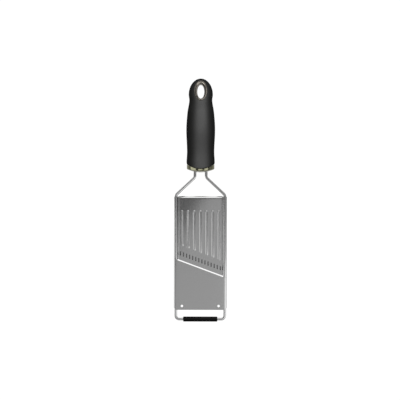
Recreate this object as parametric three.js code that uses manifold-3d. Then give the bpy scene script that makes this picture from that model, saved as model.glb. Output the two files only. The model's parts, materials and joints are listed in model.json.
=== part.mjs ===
import * as THREE from 'three';
import { mergeVertices } from 'three/addons/utils/BufferGeometryUtils.js';
import Module from 'manifold-3d';

// Julienne slicer: a bent wire frame, two formed steel plates, a comb of teeth and a soft-grip handle.
// Lengths are in millimetres and angles in degrees.
// The tool is drawn face up in its own plane: x runs across it, y runs from the cross wire at the foot
// towards the handle, and z = 0 is the middle of the wire. At the end it is tipped to lie on its foot
// and on the back of its grip.

// Fits and facets
const CLEARANCE = 0.3;
const BEND_STEP = 15;
const WIRE_SIDES = 12;
const RIB_SIDES = 20;
const SECTION_POINTS = 32;
const GRIP_STEPS = 15;
const CORE_STEPS = 6;
const TIP_ANGLES = [15, 30, 45, 57, 68, 77, 84, 88];
const DOME_SHARES = [0.08, 0.35, 0.6, 0.8];

// Wire frame, with bend radii and spacings measured on the centre line. Its shoulders stand a gap above
// the ramp's top edge, and its neck bends lie a rise above the shoulders.
const WIRE_DIAMETER = 4;
const RAIL_SPACING = 64.4;
const TANG_SPACING = 14.8;
const SHOULDER_GAP = 1.6;
const ARM_RISE = 23;
const ARM_BEND = 5.5;
const CORNER_BEND = 4.5;
const TANG_LENGTH = 46;

// Steel plates
const SHEET = 0.5;
const HEM_RETURN = 20;
const PLATE_END_Y = 12.3;
const HEM_SETBACK = 2.2;
const SLOT_Y = 67.2;
const SLOT_ANGLE = 20.3;
const SLOT_WIDTH = 1.75;
const BEVEL_WIDTH = 2;
const EDGE_THICKNESS = 0.12;
const HOLE_DIAMETER = 3.2;
const HOLE_SPACING = 48.2;
const HOLE_RISE = 5.1;

// Ramp tray, with its drop measured from the top of the hems to the floor
const RAMP_TOP_Y = 162;
const LIP_RADIUS = 2.6;
const DROP_AT_TOP = 3.6;
const DROP_AT_SLOT = 4.6;
const WALL_FILLET = 0.8;
const FILLET_SINK = 0.05;
const RIB_PITCH = 8.1;
const RIB_WIDTH = 4;
const RIB_HEIGHT = 1;
const RIB_TOP_GAP = 18.7;
const RIB_SLOT_GAP = 19.4;

// Julienne comb, with gaps measured along y from the middle of the slot
const TOOTH_PITCH = 4.05;
const TOOTH_LENGTH = 6;
const TOOTH_THICKNESS = 0.6;
const TOOTH_HEIGHT = 3.2;
const TOOTH_TIP = 1.2;
const TOOTH_HEEL = 0.6;
const TOOTH_SLOT_GAP = 9.5;
const COMB_DEPTH = 10;
const COMB_SHEET = 0.6;

// Handle collar, placed by its gap above the neck bends
const COLLAR_GAP = 6.4;
const COLLAR_WIDTH = 35.8;
const COLLAR_THICKNESS = 22.4;
const COLLAR_RISE = 5.2;
const COLLAR_CORNER = 1.8;
const COLLAR_WALL = 3;

// Handle grip: its lip stands a gap above the collar's lowest point and curves up at the sides,
// and its sections are given by their rise above the lip
const LIP_GAP = 4.7;
const LIP_RISE = 7;
const LIP_ROUND = 0.8;
const GRIP_WALL = 3.5;
const SECTION_POWER = 2.2;
const FLARE = { rise: 8.5, width: 37.1, thickness: 23.6 };
const WAIST = { rise: 23, width: 35.8, thickness: 24.2 };
const BELLY = { rise: 52, width: 37.9, thickness: 28 };
const TAPER = { rise: 74.4, width: 35, thickness: 25.4 };
const NECK = { rise: 89.8, width: 30.2, thickness: 20.6 };
const BULB = { rise: 97.7, width: 31.8, thickness: 19.6 };
const BULB_END = 21.3;

// Handle core and hanging eyelet, with the eyelet placed by its rise above the middle of the bulb
const CORE_END_GAP = 4;
const EYELET_WIDTH = 17.2;
const EYELET_LENGTH = 26.6;
const EYELET_RISE = 5;
const EYELET_PROUD = 0.4;
const HANG_HOLE_WIDTH = 9.2;
const HANG_HOLE_LENGTH = 18.4;
const HANG_HOLE_RISE = 3.7;

// Foot sleeve
const FOOT_LENGTH = 45;
const FOOT_DEPTH = 6.5;
const FOOT_HEIGHT = 8;
const FOOT_ROUND = 2;
const FOOT_END_ROUND = 1;

// Sizes that follow from the ones above
const RAIL_X = RAIL_SPACING / 2;
const SHOULDER_Y = RAMP_TOP_Y + SHOULDER_GAP;
const NECK_Y = SHOULDER_Y + ARM_RISE;
const COLLAR_Y = NECK_Y + COLLAR_GAP;
const LIP_Y = COLLAR_Y + LIP_GAP;
const HEM_INSIDE = WIRE_DIAMETER / 2 + CLEARANCE;
const HEM_OUTSIDE = HEM_INSIDE + SHEET;
const BORE_RADIUS = WIRE_DIAMETER / 2 + CLEARANCE;
const HEM_TOP_Y = RAMP_TOP_Y - LIP_RADIUS;
const TRAY_WIDTH = RAIL_SPACING - 2 * HEM_OUTSIDE;
const SLOT_SPAN = RAIL_SPACING - 2 * HEM_INSIDE;
const SLOT_TURN = -THREE.MathUtils.degToRad(SLOT_ANGLE);
const RAMP_TILT = Math.atan2(DROP_AT_SLOT - DROP_AT_TOP, HEM_TOP_Y - SLOT_Y);
const BULB_Y = LIP_Y + BULB.rise;
const EYELET_Y = BULB_Y + EYELET_RISE;
const REACH = 1.5 * RAIL_SPACING;

const wasm = await Module();
wasm.setup();

// Solids: a closed geometry becomes a solid that can be joined and cut, and back again
function solid(geometry) {
  const bare = geometry.clone();
  bare.deleteAttribute('normal');
  bare.deleteAttribute('uv');
  const merged = mergeVertices(bare);
  const index = merged.index.array;
  const triangles = [];
  for (let i = 0; i < index.length; i += 3) {
    const [a, b, c] = [index[i], index[i + 1], index[i + 2]];
    if (a !== b && b !== c && c !== a) {
      triangles.push(a, b, c);
    }
  }
  return new wasm.Manifold(new wasm.Mesh({
    numProp: 3,
    vertProperties: new Float32Array(merged.attributes.position.array),
    triVerts: new Uint32Array(triangles),
  }));
}

function geometryOf(body) {
  const mesh = body.getMesh();
  const geometry = new THREE.BufferGeometry();
  geometry.setAttribute('position', new THREE.BufferAttribute(mesh.vertProperties, 3));
  geometry.setIndex(new THREE.BufferAttribute(mesh.triVerts, 1));
  geometry.computeVertexNormals();
  return geometry;
}

// Closed skin through rings that follow each other along +Y, each turning from +X to +Z
function loft(rings) {
  const count = rings[0].length;
  const last = (rings.length - 1) * count;
  const index = [];
  for (let start = 0; start < last; start += count) {
    for (let i = 0; i < count; i += 1) {
      const a = start + i;
      const b = start + (i + 1) % count;
      index.push(a, a + count, b, b, a + count, b + count);
    }
  }
  const flat = (ring) => THREE.ShapeUtils.triangulateShape(ring.map((p) => new THREE.Vector2(p.x, p.z)), []);
  for (const [a, b, c] of flat(rings[0])) {
    index.push(a, b, c);
  }
  for (const [a, b, c] of flat(rings[rings.length - 1])) {
    index.push(last + a, last + c, last + b);
  }
  const geometry = new THREE.BufferGeometry();
  geometry.setFromPoints(rings.flat());
  geometry.setIndex(index);
  return geometry;
}

// Block between two opposite corners
function block(low, high) {
  const corners = [[low[0], low[2]], [high[0], low[2]], [high[0], high[2]], [low[0], high[2]]];
  return loft([low[1], high[1]].map((y) => corners.map(([x, z]) => new THREE.Vector3(x, y, z))));
}

// A profile drawn in y and z, extruded across the tool and centred on x = 0
function extrudeAcross(profile, width, options = {}) {
  const geometry = new THREE.ExtrudeGeometry(profile, { depth: width, bevelEnabled: false, ...options });
  const axes = [new THREE.Vector3(0, 1, 0), new THREE.Vector3(0, 0, 1), new THREE.Vector3(1, 0, 0)];
  geometry.applyMatrix4(new THREE.Matrix4().makeBasis(...axes));
  return geometry.translate(-width / 2, 0, 0);
}

function arcPoints(x, y, radius, fromDegrees, toDegrees) {
  const steps = Math.ceil(Math.abs(toDegrees - fromDegrees) / BEND_STEP);
  const points = [];
  for (let i = 0; i <= steps; i += 1) {
    const angle = THREE.MathUtils.degToRad(fromDegrees + (toDegrees - fromDegrees) * i / steps);
    points.push(new THREE.Vector2(x + radius * Math.cos(angle), y + radius * Math.sin(angle)));
  }
  return points;
}

// Centre line of a wire: straight runs with a round bend at every inner corner
class BentWire extends THREE.Curve {
  constructor(corners, bends) {
    super();
    this.stations = [{ point: corners[0], tangent: corners[1].clone().sub(corners[0]).normalize() }];
    for (let i = 1; i + 1 < corners.length; i += 1) {
      this.addBend(corners[i], corners[i + 1].clone().sub(corners[i]).normalize(), bends[i - 1]);
    }
    const end = this.stations[this.stations.length - 1];
    this.stations.push({ point: corners[corners.length - 1], tangent: end.tangent });
  }

  addBend(corner, leaving, radius) {
    const arriving = this.stations[this.stations.length - 1].tangent;
    const turn = arriving.angleTo(leaving);
    const axis = arriving.clone().cross(leaving).normalize();
    const start = corner.clone().addScaledVector(arriving, -radius * Math.tan(turn / 2));
    const centre = axis.clone().cross(arriving).multiplyScalar(radius).add(start);
    const steps = Math.ceil(THREE.MathUtils.radToDeg(turn) / BEND_STEP);
    for (let k = 0; k <= steps; k += 1) {
      const angle = turn * k / steps;
      const point = start.clone().sub(centre).applyAxisAngle(axis, angle).add(centre);
      this.stations.push({ point, tangent: arriving.clone().applyAxisAngle(axis, angle) });
    }
  }

  get steps() {
    return this.stations.length - 1;
  }

  getPointAt(u, target = new THREE.Vector3()) {
    return target.copy(this.stations[Math.round(u * this.steps)].point);
  }

  getTangentAt(u, target = new THREE.Vector3()) {
    return target.copy(this.stations[Math.round(u * this.steps)].tangent);
  }
}

// Wire frame
function wireFrame() {
  const side = (x) => [
    new THREE.Vector3(x * TANG_SPACING / 2, NECK_Y + TANG_LENGTH, 0),
    new THREE.Vector3(x * TANG_SPACING / 2, NECK_Y, 0),
    new THREE.Vector3(x * RAIL_X, SHOULDER_Y, 0),
    new THREE.Vector3(x * RAIL_X, 0, 0),
  ];
  const corners = [...side(-1), ...side(1).reverse()];
  const path = new BentWire(corners, [ARM_BEND, ARM_BEND, CORNER_BEND, CORNER_BEND, ARM_BEND, ARM_BEND]);
  const section = new THREE.Shape().absarc(0, 0, WIRE_DIAMETER / 2, 0, 2 * Math.PI);
  return new THREE.ExtrudeGeometry(section, {
    steps: path.steps,
    extrudePath: path,
    curveSegments: WIRE_SIDES / 2,
  });
}

// Bores that follow the two wire ends through the collar and into the core
function tangBores() {
  const top = NECK_Y + TANG_LENGTH + CLEARANCE;
  const length = top - NECK_Y;
  return [-1, 1].map((x) => solid(new THREE.CylinderGeometry(BORE_RADIUS, BORE_RADIUS, length, WIRE_SIDES)
    .translate(x * TANG_SPACING / 2, NECK_Y + length / 2, 0)));
}

// Hem of a plate, seen along the tool: the sheet's edge rolled round the right-hand rail.
// It runs from its free edge under the wire, round the outside, to the given angle.
function hemArc(radius, toDegrees) {
  return arcPoints(RAIL_X, 0, radius, -90 - HEM_RETURN, toDegrees);
}

function mirrored(points) {
  return points.map((p) => new THREE.Vector2(-p.x, p.y)).reverse();
}

// Section of the flat plate, with a hem at both edges
function flatSection() {
  const upper = hemArc(HEM_OUTSIDE, 90);
  const lower = hemArc(HEM_INSIDE, 90).reverse();
  return [...upper, ...mirrored(upper), ...mirrored(lower), ...lower];
}

// Section of the tray's right-hand side: the hem, the wall inside the rail and a fillet down to the floor
function traySide(drop) {
  const floor = HEM_OUTSIDE - drop;
  const filletX = RAIL_X - HEM_OUTSIDE - WALL_FILLET;
  const middle = floor - SHEET / 2;
  return [
    ...hemArc(HEM_OUTSIDE, 180),
    ...arcPoints(filletX, floor + WALL_FILLET - FILLET_SINK, WALL_FILLET, 0, -90),
    new THREE.Vector2(filletX, middle),
    new THREE.Vector2(RAIL_X - HEM_INSIDE, middle),
    ...hemArc(HEM_INSIDE, 180).reverse(),
  ];
}

function ringAt(y, section) {
  return section.map((p) => new THREE.Vector3(p.x, y, p.y));
}

// The slot runs across the tool at a slant, so its y depends on x
function slotLine(x) {
  return SLOT_Y + Math.tan(SLOT_TURN) * x;
}

// A block along the slot between two distances from its middle line
function slotBlock(from, to, length) {
  return solid(block([-length / 2, from, -REACH], [length / 2, to, REACH])
    .rotateZ(SLOT_TURN)
    .translate(0, SLOT_Y, 0));
}

function slotOpening() {
  return slotBlock(-SLOT_WIDTH / 2, SLOT_WIDTH / 2, SLOT_SPAN / Math.cos(SLOT_TURN));
}

// Slicing plate
function slicingPlate() {
  const edge = -SLOT_WIDTH / 2;
  const bevel = new THREE.Shape([
    new THREE.Vector2(edge + SHEET, HEM_OUTSIDE - EDGE_THICKNESS),
    new THREE.Vector2(edge, HEM_OUTSIDE - EDGE_THICKNESS),
    new THREE.Vector2(edge - BEVEL_WIDTH, HEM_INSIDE),
    new THREE.Vector2(edge - BEVEL_WIDTH, 0),
    new THREE.Vector2(edge + SHEET, 0),
  ]);
  const bevelCut = extrudeAcross(bevel, TRAY_WIDTH / Math.cos(SLOT_TURN))
    .rotateZ(SLOT_TURN)
    .translate(0, SLOT_Y, 0);
  const topY = slotLine(-RAIL_X - HEM_OUTSIDE);
  let plate = solid(loft([ringAt(PLATE_END_Y, flatSection()), ringAt(topY, flatSection())]))
    .subtract(slotBlock(-CLEARANCE / 2, REACH, REACH))
    .subtract(slotOpening())
    .subtract(solid(bevelCut));
  const hemEndY = PLATE_END_Y + HEM_SETBACK;
  const hemReturn = block([-REACH, -REACH, -REACH], [REACH, hemEndY, 0]);
  plate = plate.subtract(solid(hemReturn));
  for (const x of [-1, 1]) {
    const hemSide = block([RAIL_X, -REACH, -REACH], [REACH, hemEndY, REACH]);
    if (x < 0) {
      hemSide.rotateY(Math.PI);
    }
    const hole = new THREE.CylinderGeometry(HOLE_DIAMETER / 2, HOLE_DIAMETER / 2, REACH, 2 * WIRE_SIDES)
      .rotateX(Math.PI / 2)
      .translate(x * HOLE_SPACING / 2, PLATE_END_Y + HOLE_RISE, 0);
    plate = plate.subtract(solid(hemSide)).subtract(solid(hole));
  }
  return geometryOf(plate);
}

// The ramp's floor frame: z = 0 is the floor's upper face, and y = 0 is the middle of the slot
function onRamp(geometry) {
  return geometry.rotateX(RAMP_TILT).translate(0, SLOT_Y, HEM_OUTSIDE - DROP_AT_SLOT);
}

// Places across the tray at an even pitch, as many as fit
function acrossTray(pitch) {
  const count = Math.floor(TRAY_WIDTH / pitch);
  return Array.from({ length: count }, (_, i) => (i - (count - 1) / 2) * pitch);
}

// Pressed ribs: a capsule sunk below the floor leaves a bead of the rib's width and height above it
function rib(x, radius) {
  const crown = (RIB_WIDTH ** 2 / 4 + RIB_HEIGHT ** 2) / (2 * RIB_HEIGHT);
  const start = slotLine(x) - SLOT_Y + RIB_SLOT_GAP + RIB_WIDTH / 2;
  const end = RAMP_TOP_Y - RIB_TOP_GAP - SLOT_Y - RIB_WIDTH / 2;
  return solid(onRamp(new THREE.CapsuleGeometry(crown + radius, end - start, RIB_SIDES / 4, RIB_SIDES)
    .translate(x, (start + end) / 2, RIB_HEIGHT - crown)));
}

// Floor of the ramp, with its upper edge turned down in a quarter round
function rampFloor(lowY, lowDrop) {
  const low = HEM_OUTSIDE - lowDrop;
  const bend = [HEM_TOP_Y, HEM_OUTSIDE - DROP_AT_TOP - LIP_RADIUS];
  const profile = new THREE.Shape([
    new THREE.Vector2(lowY, low - SHEET),
    ...arcPoints(...bend, LIP_RADIUS - SHEET, 90, 0),
    ...arcPoints(...bend, LIP_RADIUS, 0, 90),
    new THREE.Vector2(lowY, low),
  ]);
  return solid(extrudeAcross(profile, SLOT_SPAN));
}

// Ramp plate
function rampPlate() {
  const lowY = slotLine(RAIL_X + HEM_OUTSIDE);
  const lowDrop = DROP_AT_SLOT + (SLOT_Y - lowY) * Math.tan(RAMP_TILT);
  const aboveFloor = solid(onRamp(block([-REACH, -REACH, -SHEET / 2], [REACH, REACH, REACH])));
  const side = [traySide(lowDrop), traySide(DROP_AT_TOP)];
  let plate = rampFloor(lowY, lowDrop);
  for (const [low, top] of [side, side.map(mirrored)]) {
    plate = plate.add(solid(loft([ringAt(lowY, low), ringAt(HEM_TOP_Y, top)])));
  }
  for (const x of acrossTray(RIB_PITCH)) {
    plate = plate.add(rib(x, 0).intersect(aboveFloor)).subtract(rib(x, -SHEET));
  }
  for (const x of acrossTray(TOOTH_PITCH)) {
    const [halfWidth, halfLength] = [TOOTH_THICKNESS / 2 + CLEARANCE, TOOTH_LENGTH / 2 + CLEARANCE];
    const slit = block([-halfWidth, -halfLength, -TOOTH_HEIGHT], [halfWidth, halfLength, TOOTH_HEIGHT])
      .translate(x, slotLine(x) - SLOT_Y + TOOTH_SLOT_GAP, 0);
    plate = plate.subtract(solid(onRamp(slit)));
  }
  return geometryOf(plate
    .subtract(slotBlock(-REACH, CLEARANCE / 2, REACH))
    .subtract(slotOpening()));
}

// Julienne comb: a slanted strip under the ramp with a row of teeth that stand up through the slits
function julienneComb() {
  const places = acrossTray(TOOTH_PITCH);
  const endX = places[places.length - 1] + TOOTH_PITCH / 2;
  const top = -SHEET - CLEARANCE;
  const rise = (x) => slotLine(x) - SLOT_Y + TOOTH_SLOT_GAP;
  const outline = new THREE.Shape([
    new THREE.Vector2(-endX, rise(-endX) - COMB_DEPTH / 2),
    new THREE.Vector2(endX, rise(endX) - COMB_DEPTH / 2),
    new THREE.Vector2(endX, rise(endX) + COMB_DEPTH / 2),
    new THREE.Vector2(-endX, rise(-endX) + COMB_DEPTH / 2),
  ]);
  const strip = new THREE.ExtrudeGeometry(outline, { depth: COMB_SHEET, bevelEnabled: false });
  const front = -TOOTH_LENGTH / 2;
  const tooth = new THREE.Shape([
    new THREE.Vector2(front, top - COMB_SHEET / 2),
    new THREE.Vector2(-front, top - COMB_SHEET / 2),
    new THREE.Vector2(-front, TOOTH_HEEL),
    new THREE.Vector2(front + TOOTH_TIP, TOOTH_HEIGHT),
    new THREE.Vector2(front, TOOTH_HEIGHT),
  ]);
  let comb = solid(onRamp(strip.translate(0, 0, top - COMB_SHEET)));
  for (const x of places) {
    comb = comb.add(solid(onRamp(extrudeAcross(tooth, TOOTH_THICKNESS).translate(x, rise(x), 0))));
  }
  return geometryOf(comb);
}

// Rounded section of the handle, with its y given for each point across it
function handleRing(width, thickness, yAt) {
  const ring = [];
  for (let i = 0; i < SECTION_POINTS; i += 1) {
    const angle = 2 * Math.PI * i / SECTION_POINTS;
    const swell = (value) => Math.sign(value) * Math.abs(value) ** (2 / SECTION_POWER);
    const x = width / 2 * swell(Math.cos(angle));
    const z = thickness / 2 * swell(Math.sin(angle));
    ring.push(new THREE.Vector3(x, yAt(x, z), z));
  }
  return ring;
}

// Height of a round arch at a distance from its middle, by its rise at the half span
function archRise(distance, halfSpan, rise) {
  const radius = (halfSpan ** 2 + rise ** 2) / (2 * rise);
  return radius - Math.sqrt(radius ** 2 - distance ** 2);
}

function lipY(x) {
  return LIP_Y + archRise(x, FLARE.width / 2, LIP_RISE);
}

function domeY(x, z) {
  return COLLAR_Y + archRise(Math.hypot(x, z), COLLAR_WIDTH / 2, COLLAR_RISE);
}

// Sections of the grip from the flare to the tip: a smooth run to the bulb, then a half ellipse
function gripSections() {
  const stations = [FLARE, WAIST, BELLY, TAPER, NECK, BULB];
  const points = stations.map((s) => new THREE.Vector3(s.width, s.rise, s.thickness));
  const curve = new THREE.CatmullRomCurve3(points);
  const sections = curve.getPoints(GRIP_STEPS).map((p) => ({ y: LIP_Y + p.y, width: p.x, thickness: p.z }));
  for (const degrees of TIP_ANGLES) {
    const angle = THREE.MathUtils.degToRad(degrees);
    sections.push({
      y: BULB_Y + BULB_END * Math.sin(angle),
      width: BULB.width * Math.cos(angle),
      thickness: BULB.thickness * Math.cos(angle),
    });
  }
  return sections;
}

// Rings of the grip's outside, grown on all sides by an offset
function gripRings(grow) {
  const sections = gripSections();
  const { width, thickness } = sections[0];
  const rings = [
    handleRing(width - 2 * LIP_ROUND + 2 * grow, thickness - 2 * LIP_ROUND + 2 * grow, lipY),
    handleRing(width + 2 * grow, thickness + 2 * grow, (x) => lipY(x) + LIP_ROUND),
  ];
  for (const section of sections) {
    const aboveLip = (x) => Math.max(section.y, lipY(x) + 2 * LIP_ROUND);
    rings.push(handleRing(section.width + 2 * grow, section.thickness + 2 * grow, aboveLip));
  }
  return rings;
}

// Section of the grip at any y between its flare and its tip
function sectionAt(y) {
  const sections = gripSections();
  const next = sections.findIndex((s, i) => i > 0 && s.y >= y);
  const [below, above] = [sections[next - 1], sections[next]];
  const share = (y - below.y) / (above.y - below.y);
  return {
    width: THREE.MathUtils.lerp(below.width, above.width, share),
    thickness: THREE.MathUtils.lerp(below.thickness, above.thickness, share),
  };
}

// Handle core: a domed foot inside the collar, then the grip's sections drawn in by the grip's wall
function coreBody(grow) {
  const inset = 2 * (grow - GRIP_WALL);
  const footWidth = COLLAR_WIDTH + inset;
  const footThickness = COLLAR_THICKNESS + inset;
  const footY = (x, z) => domeY(x, z) + COLLAR_WALL - grow;
  const footRing = (share) => handleRing(footWidth * share, footThickness * share, footY);
  const rings = [...DOME_SHARES, 1].map(footRing);
  const startY = LIP_Y + FLARE.rise;
  const endY = EYELET_Y - EYELET_LENGTH / 2 - CORE_END_GAP + grow;
  for (let i = 0; i <= CORE_STEPS; i += 1) {
    const y = THREE.MathUtils.lerp(startY, endY, i / CORE_STEPS);
    const { width, thickness } = sectionAt(y);
    rings.push(handleRing(width + inset, thickness + inset, () => y));
  }
  return solid(loft(rings));
}

function handleCore() {
  const [left, right] = tangBores();
  return geometryOf(coreBody(0).subtract(left).subtract(right));
}

// Handle collar: a domed cap whose upper edge follows the lip of the grip
function handleCollar() {
  const corner = 1 - 2 * COLLAR_CORNER / COLLAR_WIDTH;
  const ring = (share, yAt) => handleRing(COLLAR_WIDTH * share, COLLAR_THICKNESS * share, yAt);
  const underLip = (x) => lipY(x) - CLEARANCE;
  const rings = [
    ...[...DOME_SHARES, corner].map((share) => ring(share, domeY)),
    ring(1, (x, z) => domeY(x, z) + COLLAR_CORNER / 2),
    ...[1, ...DOME_SHARES.toReversed()].map((share) => ring(share, underLip)),
  ];
  const [left, right] = tangBores();
  return geometryOf(solid(loft(rings)).subtract(coreBody(CLEARANCE)).subtract(left).subtract(right));
}

// An upright oval column through the end of the handle
function ovalColumn(width, length, y) {
  const oval = new THREE.Shape().absellipse(0, y, width / 2, length / 2, 0, 2 * Math.PI);
  const options = { depth: REACH, bevelEnabled: false, curveSegments: WIRE_SIDES };
  return solid(new THREE.ExtrudeGeometry(oval, options).translate(0, 0, -REACH / 2));
}

function handleGrip() {
  const grow = 2 * CLEARANCE;
  return geometryOf(solid(loft(gripRings(0)))
    .subtract(coreBody(CLEARANCE))
    .subtract(ovalColumn(EYELET_WIDTH + grow, EYELET_LENGTH + grow, EYELET_Y)));
}

function hangEyelet() {
  return geometryOf(solid(loft(gripRings(EYELET_PROUD)))
    .intersect(ovalColumn(EYELET_WIDTH, EYELET_LENGTH, EYELET_Y))
    .subtract(ovalColumn(HANG_HOLE_WIDTH, HANG_HOLE_LENGTH, BULB_Y + HANG_HOLE_RISE)));
}

// Foot sleeve: a rounded bar with a bore for the cross wire
function footSleeve() {
  const depth = FOOT_DEPTH / 2 - FOOT_END_ROUND;
  const height = FOOT_HEIGHT / 2 - FOOT_END_ROUND;
  const round = FOOT_ROUND - FOOT_END_ROUND;
  const profile = new THREE.Shape([
    ...arcPoints(depth - round, height - round, round, 0, 90),
    ...arcPoints(round - depth, height - round, round, 90, 180),
    ...arcPoints(round - depth, round - height, round, 180, 270),
    ...arcPoints(depth - round, round - height, round, 270, 360),
  ]);
  const body = extrudeAcross(profile, FOOT_LENGTH - 2 * FOOT_END_ROUND, {
    bevelEnabled: true,
    bevelThickness: FOOT_END_ROUND,
    bevelSize: FOOT_END_ROUND,
    bevelSegments: 3,
  });
  const bore = new THREE.CylinderGeometry(BORE_RADIUS, BORE_RADIUS, REACH, WIRE_SIDES).rotateZ(Math.PI / 2);
  return geometryOf(solid(body).subtract(solid(bore)));
}

// Tilt at which the tool lies on its foot and on the lowest point of the grip's back
function restTilt() {
  const lift = FOOT_HEIGHT / 2;
  const tilts = gripRings(0).flat().map(({ y, z }) => Math.atan2(-z, y) - Math.asin(lift / Math.hypot(y, z)));
  return Math.max(...tilts);
}

// Materials
const steel = (color, roughness) => new THREE.MeshStandardMaterial({ color, roughness, metalness: 1 });
const moulded = (color, roughness) => new THREE.MeshStandardMaterial({ color, roughness, metalness: 0 });

// Assembly
const pieces = {
  wire_frame: [wireFrame(), steel('#b4b4b4', 0.25)],
  ramp_plate: [rampPlate(), steel('#8c8c8c', 0.35)],
  julienne_comb: [julienneComb(), steel('#7a7a7a', 0.35)],
  slicing_plate: [slicingPlate(), steel('#8f8f8f', 0.35)],
  handle_core: [handleCore(), moulded('#3a3a38', 0.5)],
  handle_grip: [handleGrip(), moulded('#1d1d1c', 0.6)],
  handle_collar: [handleCollar(), steel('#a3a385', 0.15)],
  hang_eyelet: [hangEyelet(), steel('#8a857c', 0.2)],
  foot_sleeve: [footSleeve(), moulded('#121212', 0.7)],
};

const tool = new THREE.Group();
for (const [name, [geometry, material]] of Object.entries(pieces)) {
  const mesh = new THREE.Mesh(geometry, material);
  mesh.name = name;
  tool.add(mesh);
}

// The foot keeps its underside level while the rest of the tool is tipped about the cross wire
const tilt = restTilt();
tool.rotation.x = tilt;
tool.position.z = FOOT_HEIGHT / 2;
tool.getObjectByName('foot_sleeve').rotation.x = -tilt;

// The origin is on the surface under the middle of the tool
const slicer = new THREE.Group();
slicer.add(tool);
slicer.updateMatrixWorld(true);
const extent = new THREE.Box3().setFromObject(slicer, true);
tool.position.y = -(extent.min.y + extent.max.y) / 2;

export default slicer;
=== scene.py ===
"""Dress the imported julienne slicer: smooth sheet, wire and handle, real finishes, and a studio.

Sizes in the classes are millimetres in the tool's own plane: x runs across the tool, y from the cross
wire at the foot to the handle, and z up from the middle of the wire. ToolPlane carries them into the
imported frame, which is in metres.
"""

from __future__ import annotations

import json
import logging
import math
from collections.abc import Callable, Sequence
from dataclasses import dataclass, field
from enum import Enum
from functools import partial

import bmesh
import bpy
from mathutils import Matrix, Vector


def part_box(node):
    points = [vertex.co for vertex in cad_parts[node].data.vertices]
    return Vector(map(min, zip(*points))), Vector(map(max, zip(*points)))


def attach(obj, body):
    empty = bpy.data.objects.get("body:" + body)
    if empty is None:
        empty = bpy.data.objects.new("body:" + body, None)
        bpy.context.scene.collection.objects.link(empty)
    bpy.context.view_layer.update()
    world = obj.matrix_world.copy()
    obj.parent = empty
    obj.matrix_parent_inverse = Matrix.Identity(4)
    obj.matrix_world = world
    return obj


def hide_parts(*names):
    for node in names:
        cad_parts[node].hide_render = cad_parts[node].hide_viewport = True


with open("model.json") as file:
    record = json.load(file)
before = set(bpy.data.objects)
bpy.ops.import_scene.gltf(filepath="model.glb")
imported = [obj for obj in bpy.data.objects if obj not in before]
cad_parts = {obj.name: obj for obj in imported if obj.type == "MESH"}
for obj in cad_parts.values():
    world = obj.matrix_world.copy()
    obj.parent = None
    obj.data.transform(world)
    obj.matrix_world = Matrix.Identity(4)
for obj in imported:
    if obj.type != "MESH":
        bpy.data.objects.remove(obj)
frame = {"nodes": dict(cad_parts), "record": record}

LOG = logging.getLogger("julienne_slicer")
MM = 0.001
MERGE_DISTANCE = 1e-4
SHARP_EDGE = math.radians(32)
BODY = "root"

Pair = tuple[float, float]
Ring = list[Vector]
Sockets = dict[str | int, object]


class Slot(Enum):
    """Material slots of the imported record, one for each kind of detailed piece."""

    WIRE = "wire_steel"
    PLATE = "plate_steel"
    GRIP = "grip_rubber"
    TRIM = "trim_metal"
    FOOT = "foot_rubber"


# Nodes and colours


def srgb(code: str) -> tuple[float, float, float, float]:
    """Turn an sRGB hex colour into linear light.

    Args:
        code: Colour as "#rrggbb".

    Returns:
        Linear red, green, blue and a full alpha.
    """
    shares = [int(code[i : i + 2], 16) / 255 for i in (1, 3, 5)]
    linear = [s / 12.92 if s <= 0.04045 else ((s + 0.055) / 1.055) ** 2.4 for s in shares]
    return (linear[0], linear[1], linear[2], 1.0)


def add_node(
    tree: bpy.types.NodeTree, kind: str, inputs: Sockets | None = None, **settings: object
) -> bpy.types.Node:
    """Add a node with its settings, input values and links.

    Args:
        tree: Tree that the node joins.
        kind: Blender's name of the node type.
        inputs: Input sockets by name or number, each with a value or with the socket that feeds it.
        settings: Properties of the node itself.

    Returns:
        The new node.
    """
    node = tree.nodes.new(kind)
    for name, value in settings.items():
        setattr(node, name, value)
    for key, value in (inputs or {}).items():
        if isinstance(value, bpy.types.NodeSocket):
            tree.links.new(value, node.inputs[key])
        else:
            node.inputs[key].default_value = value
    return node


def new_material(name: str) -> tuple[bpy.types.Material, bpy.types.NodeTree, bpy.types.Node]:
    """Start a node material.

    Args:
        name: Common name of the finish.

    Returns:
        The material, its node tree and its principled shader.
    """
    material = bpy.data.materials.new(name)
    material.use_nodes = True
    return material, material.node_tree, material.node_tree.nodes["Principled BSDF"]


def start_tree(name: str, sockets: dict[str, str]) -> tuple[bpy.types.NodeTree, bpy.types.Node]:
    """Start a Geometry Nodes tree.

    Args:
        name: Name of the tree.
        sockets: Named inputs and their socket types, after the geometry itself.

    Returns:
        The tree and its input node.
    """
    tree = bpy.data.node_groups.new(name, "GeometryNodeTree")
    tree.interface.new_socket("Geometry", in_out="INPUT", socket_type="NodeSocketGeometry")
    tree.interface.new_socket("Geometry", in_out="OUTPUT", socket_type="NodeSocketGeometry")
    for socket, kind in sockets.items():
        tree.interface.new_socket(socket, in_out="INPUT", socket_type=kind)
    return tree, add_node(tree, "NodeGroupInput")


def end_tree(tree: bpy.types.NodeTree, shape: bpy.types.NodeSocket, finish: bpy.types.NodeSocket) -> None:
    """End a Geometry Nodes tree with real geometry in its finish.

    Args:
        tree: Tree to end.
        shape: Socket that gives the geometry.
        finish: Socket that gives the material.
    """
    real = add_node(tree, "GeometryNodeRealizeInstances", {"Geometry": shape})
    dressed = add_node(tree, "GeometryNodeSetMaterial", {"Geometry": real.outputs[0], "Material": finish})
    add_node(tree, "NodeGroupOutput", {0: dressed.outputs[0]})


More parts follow.
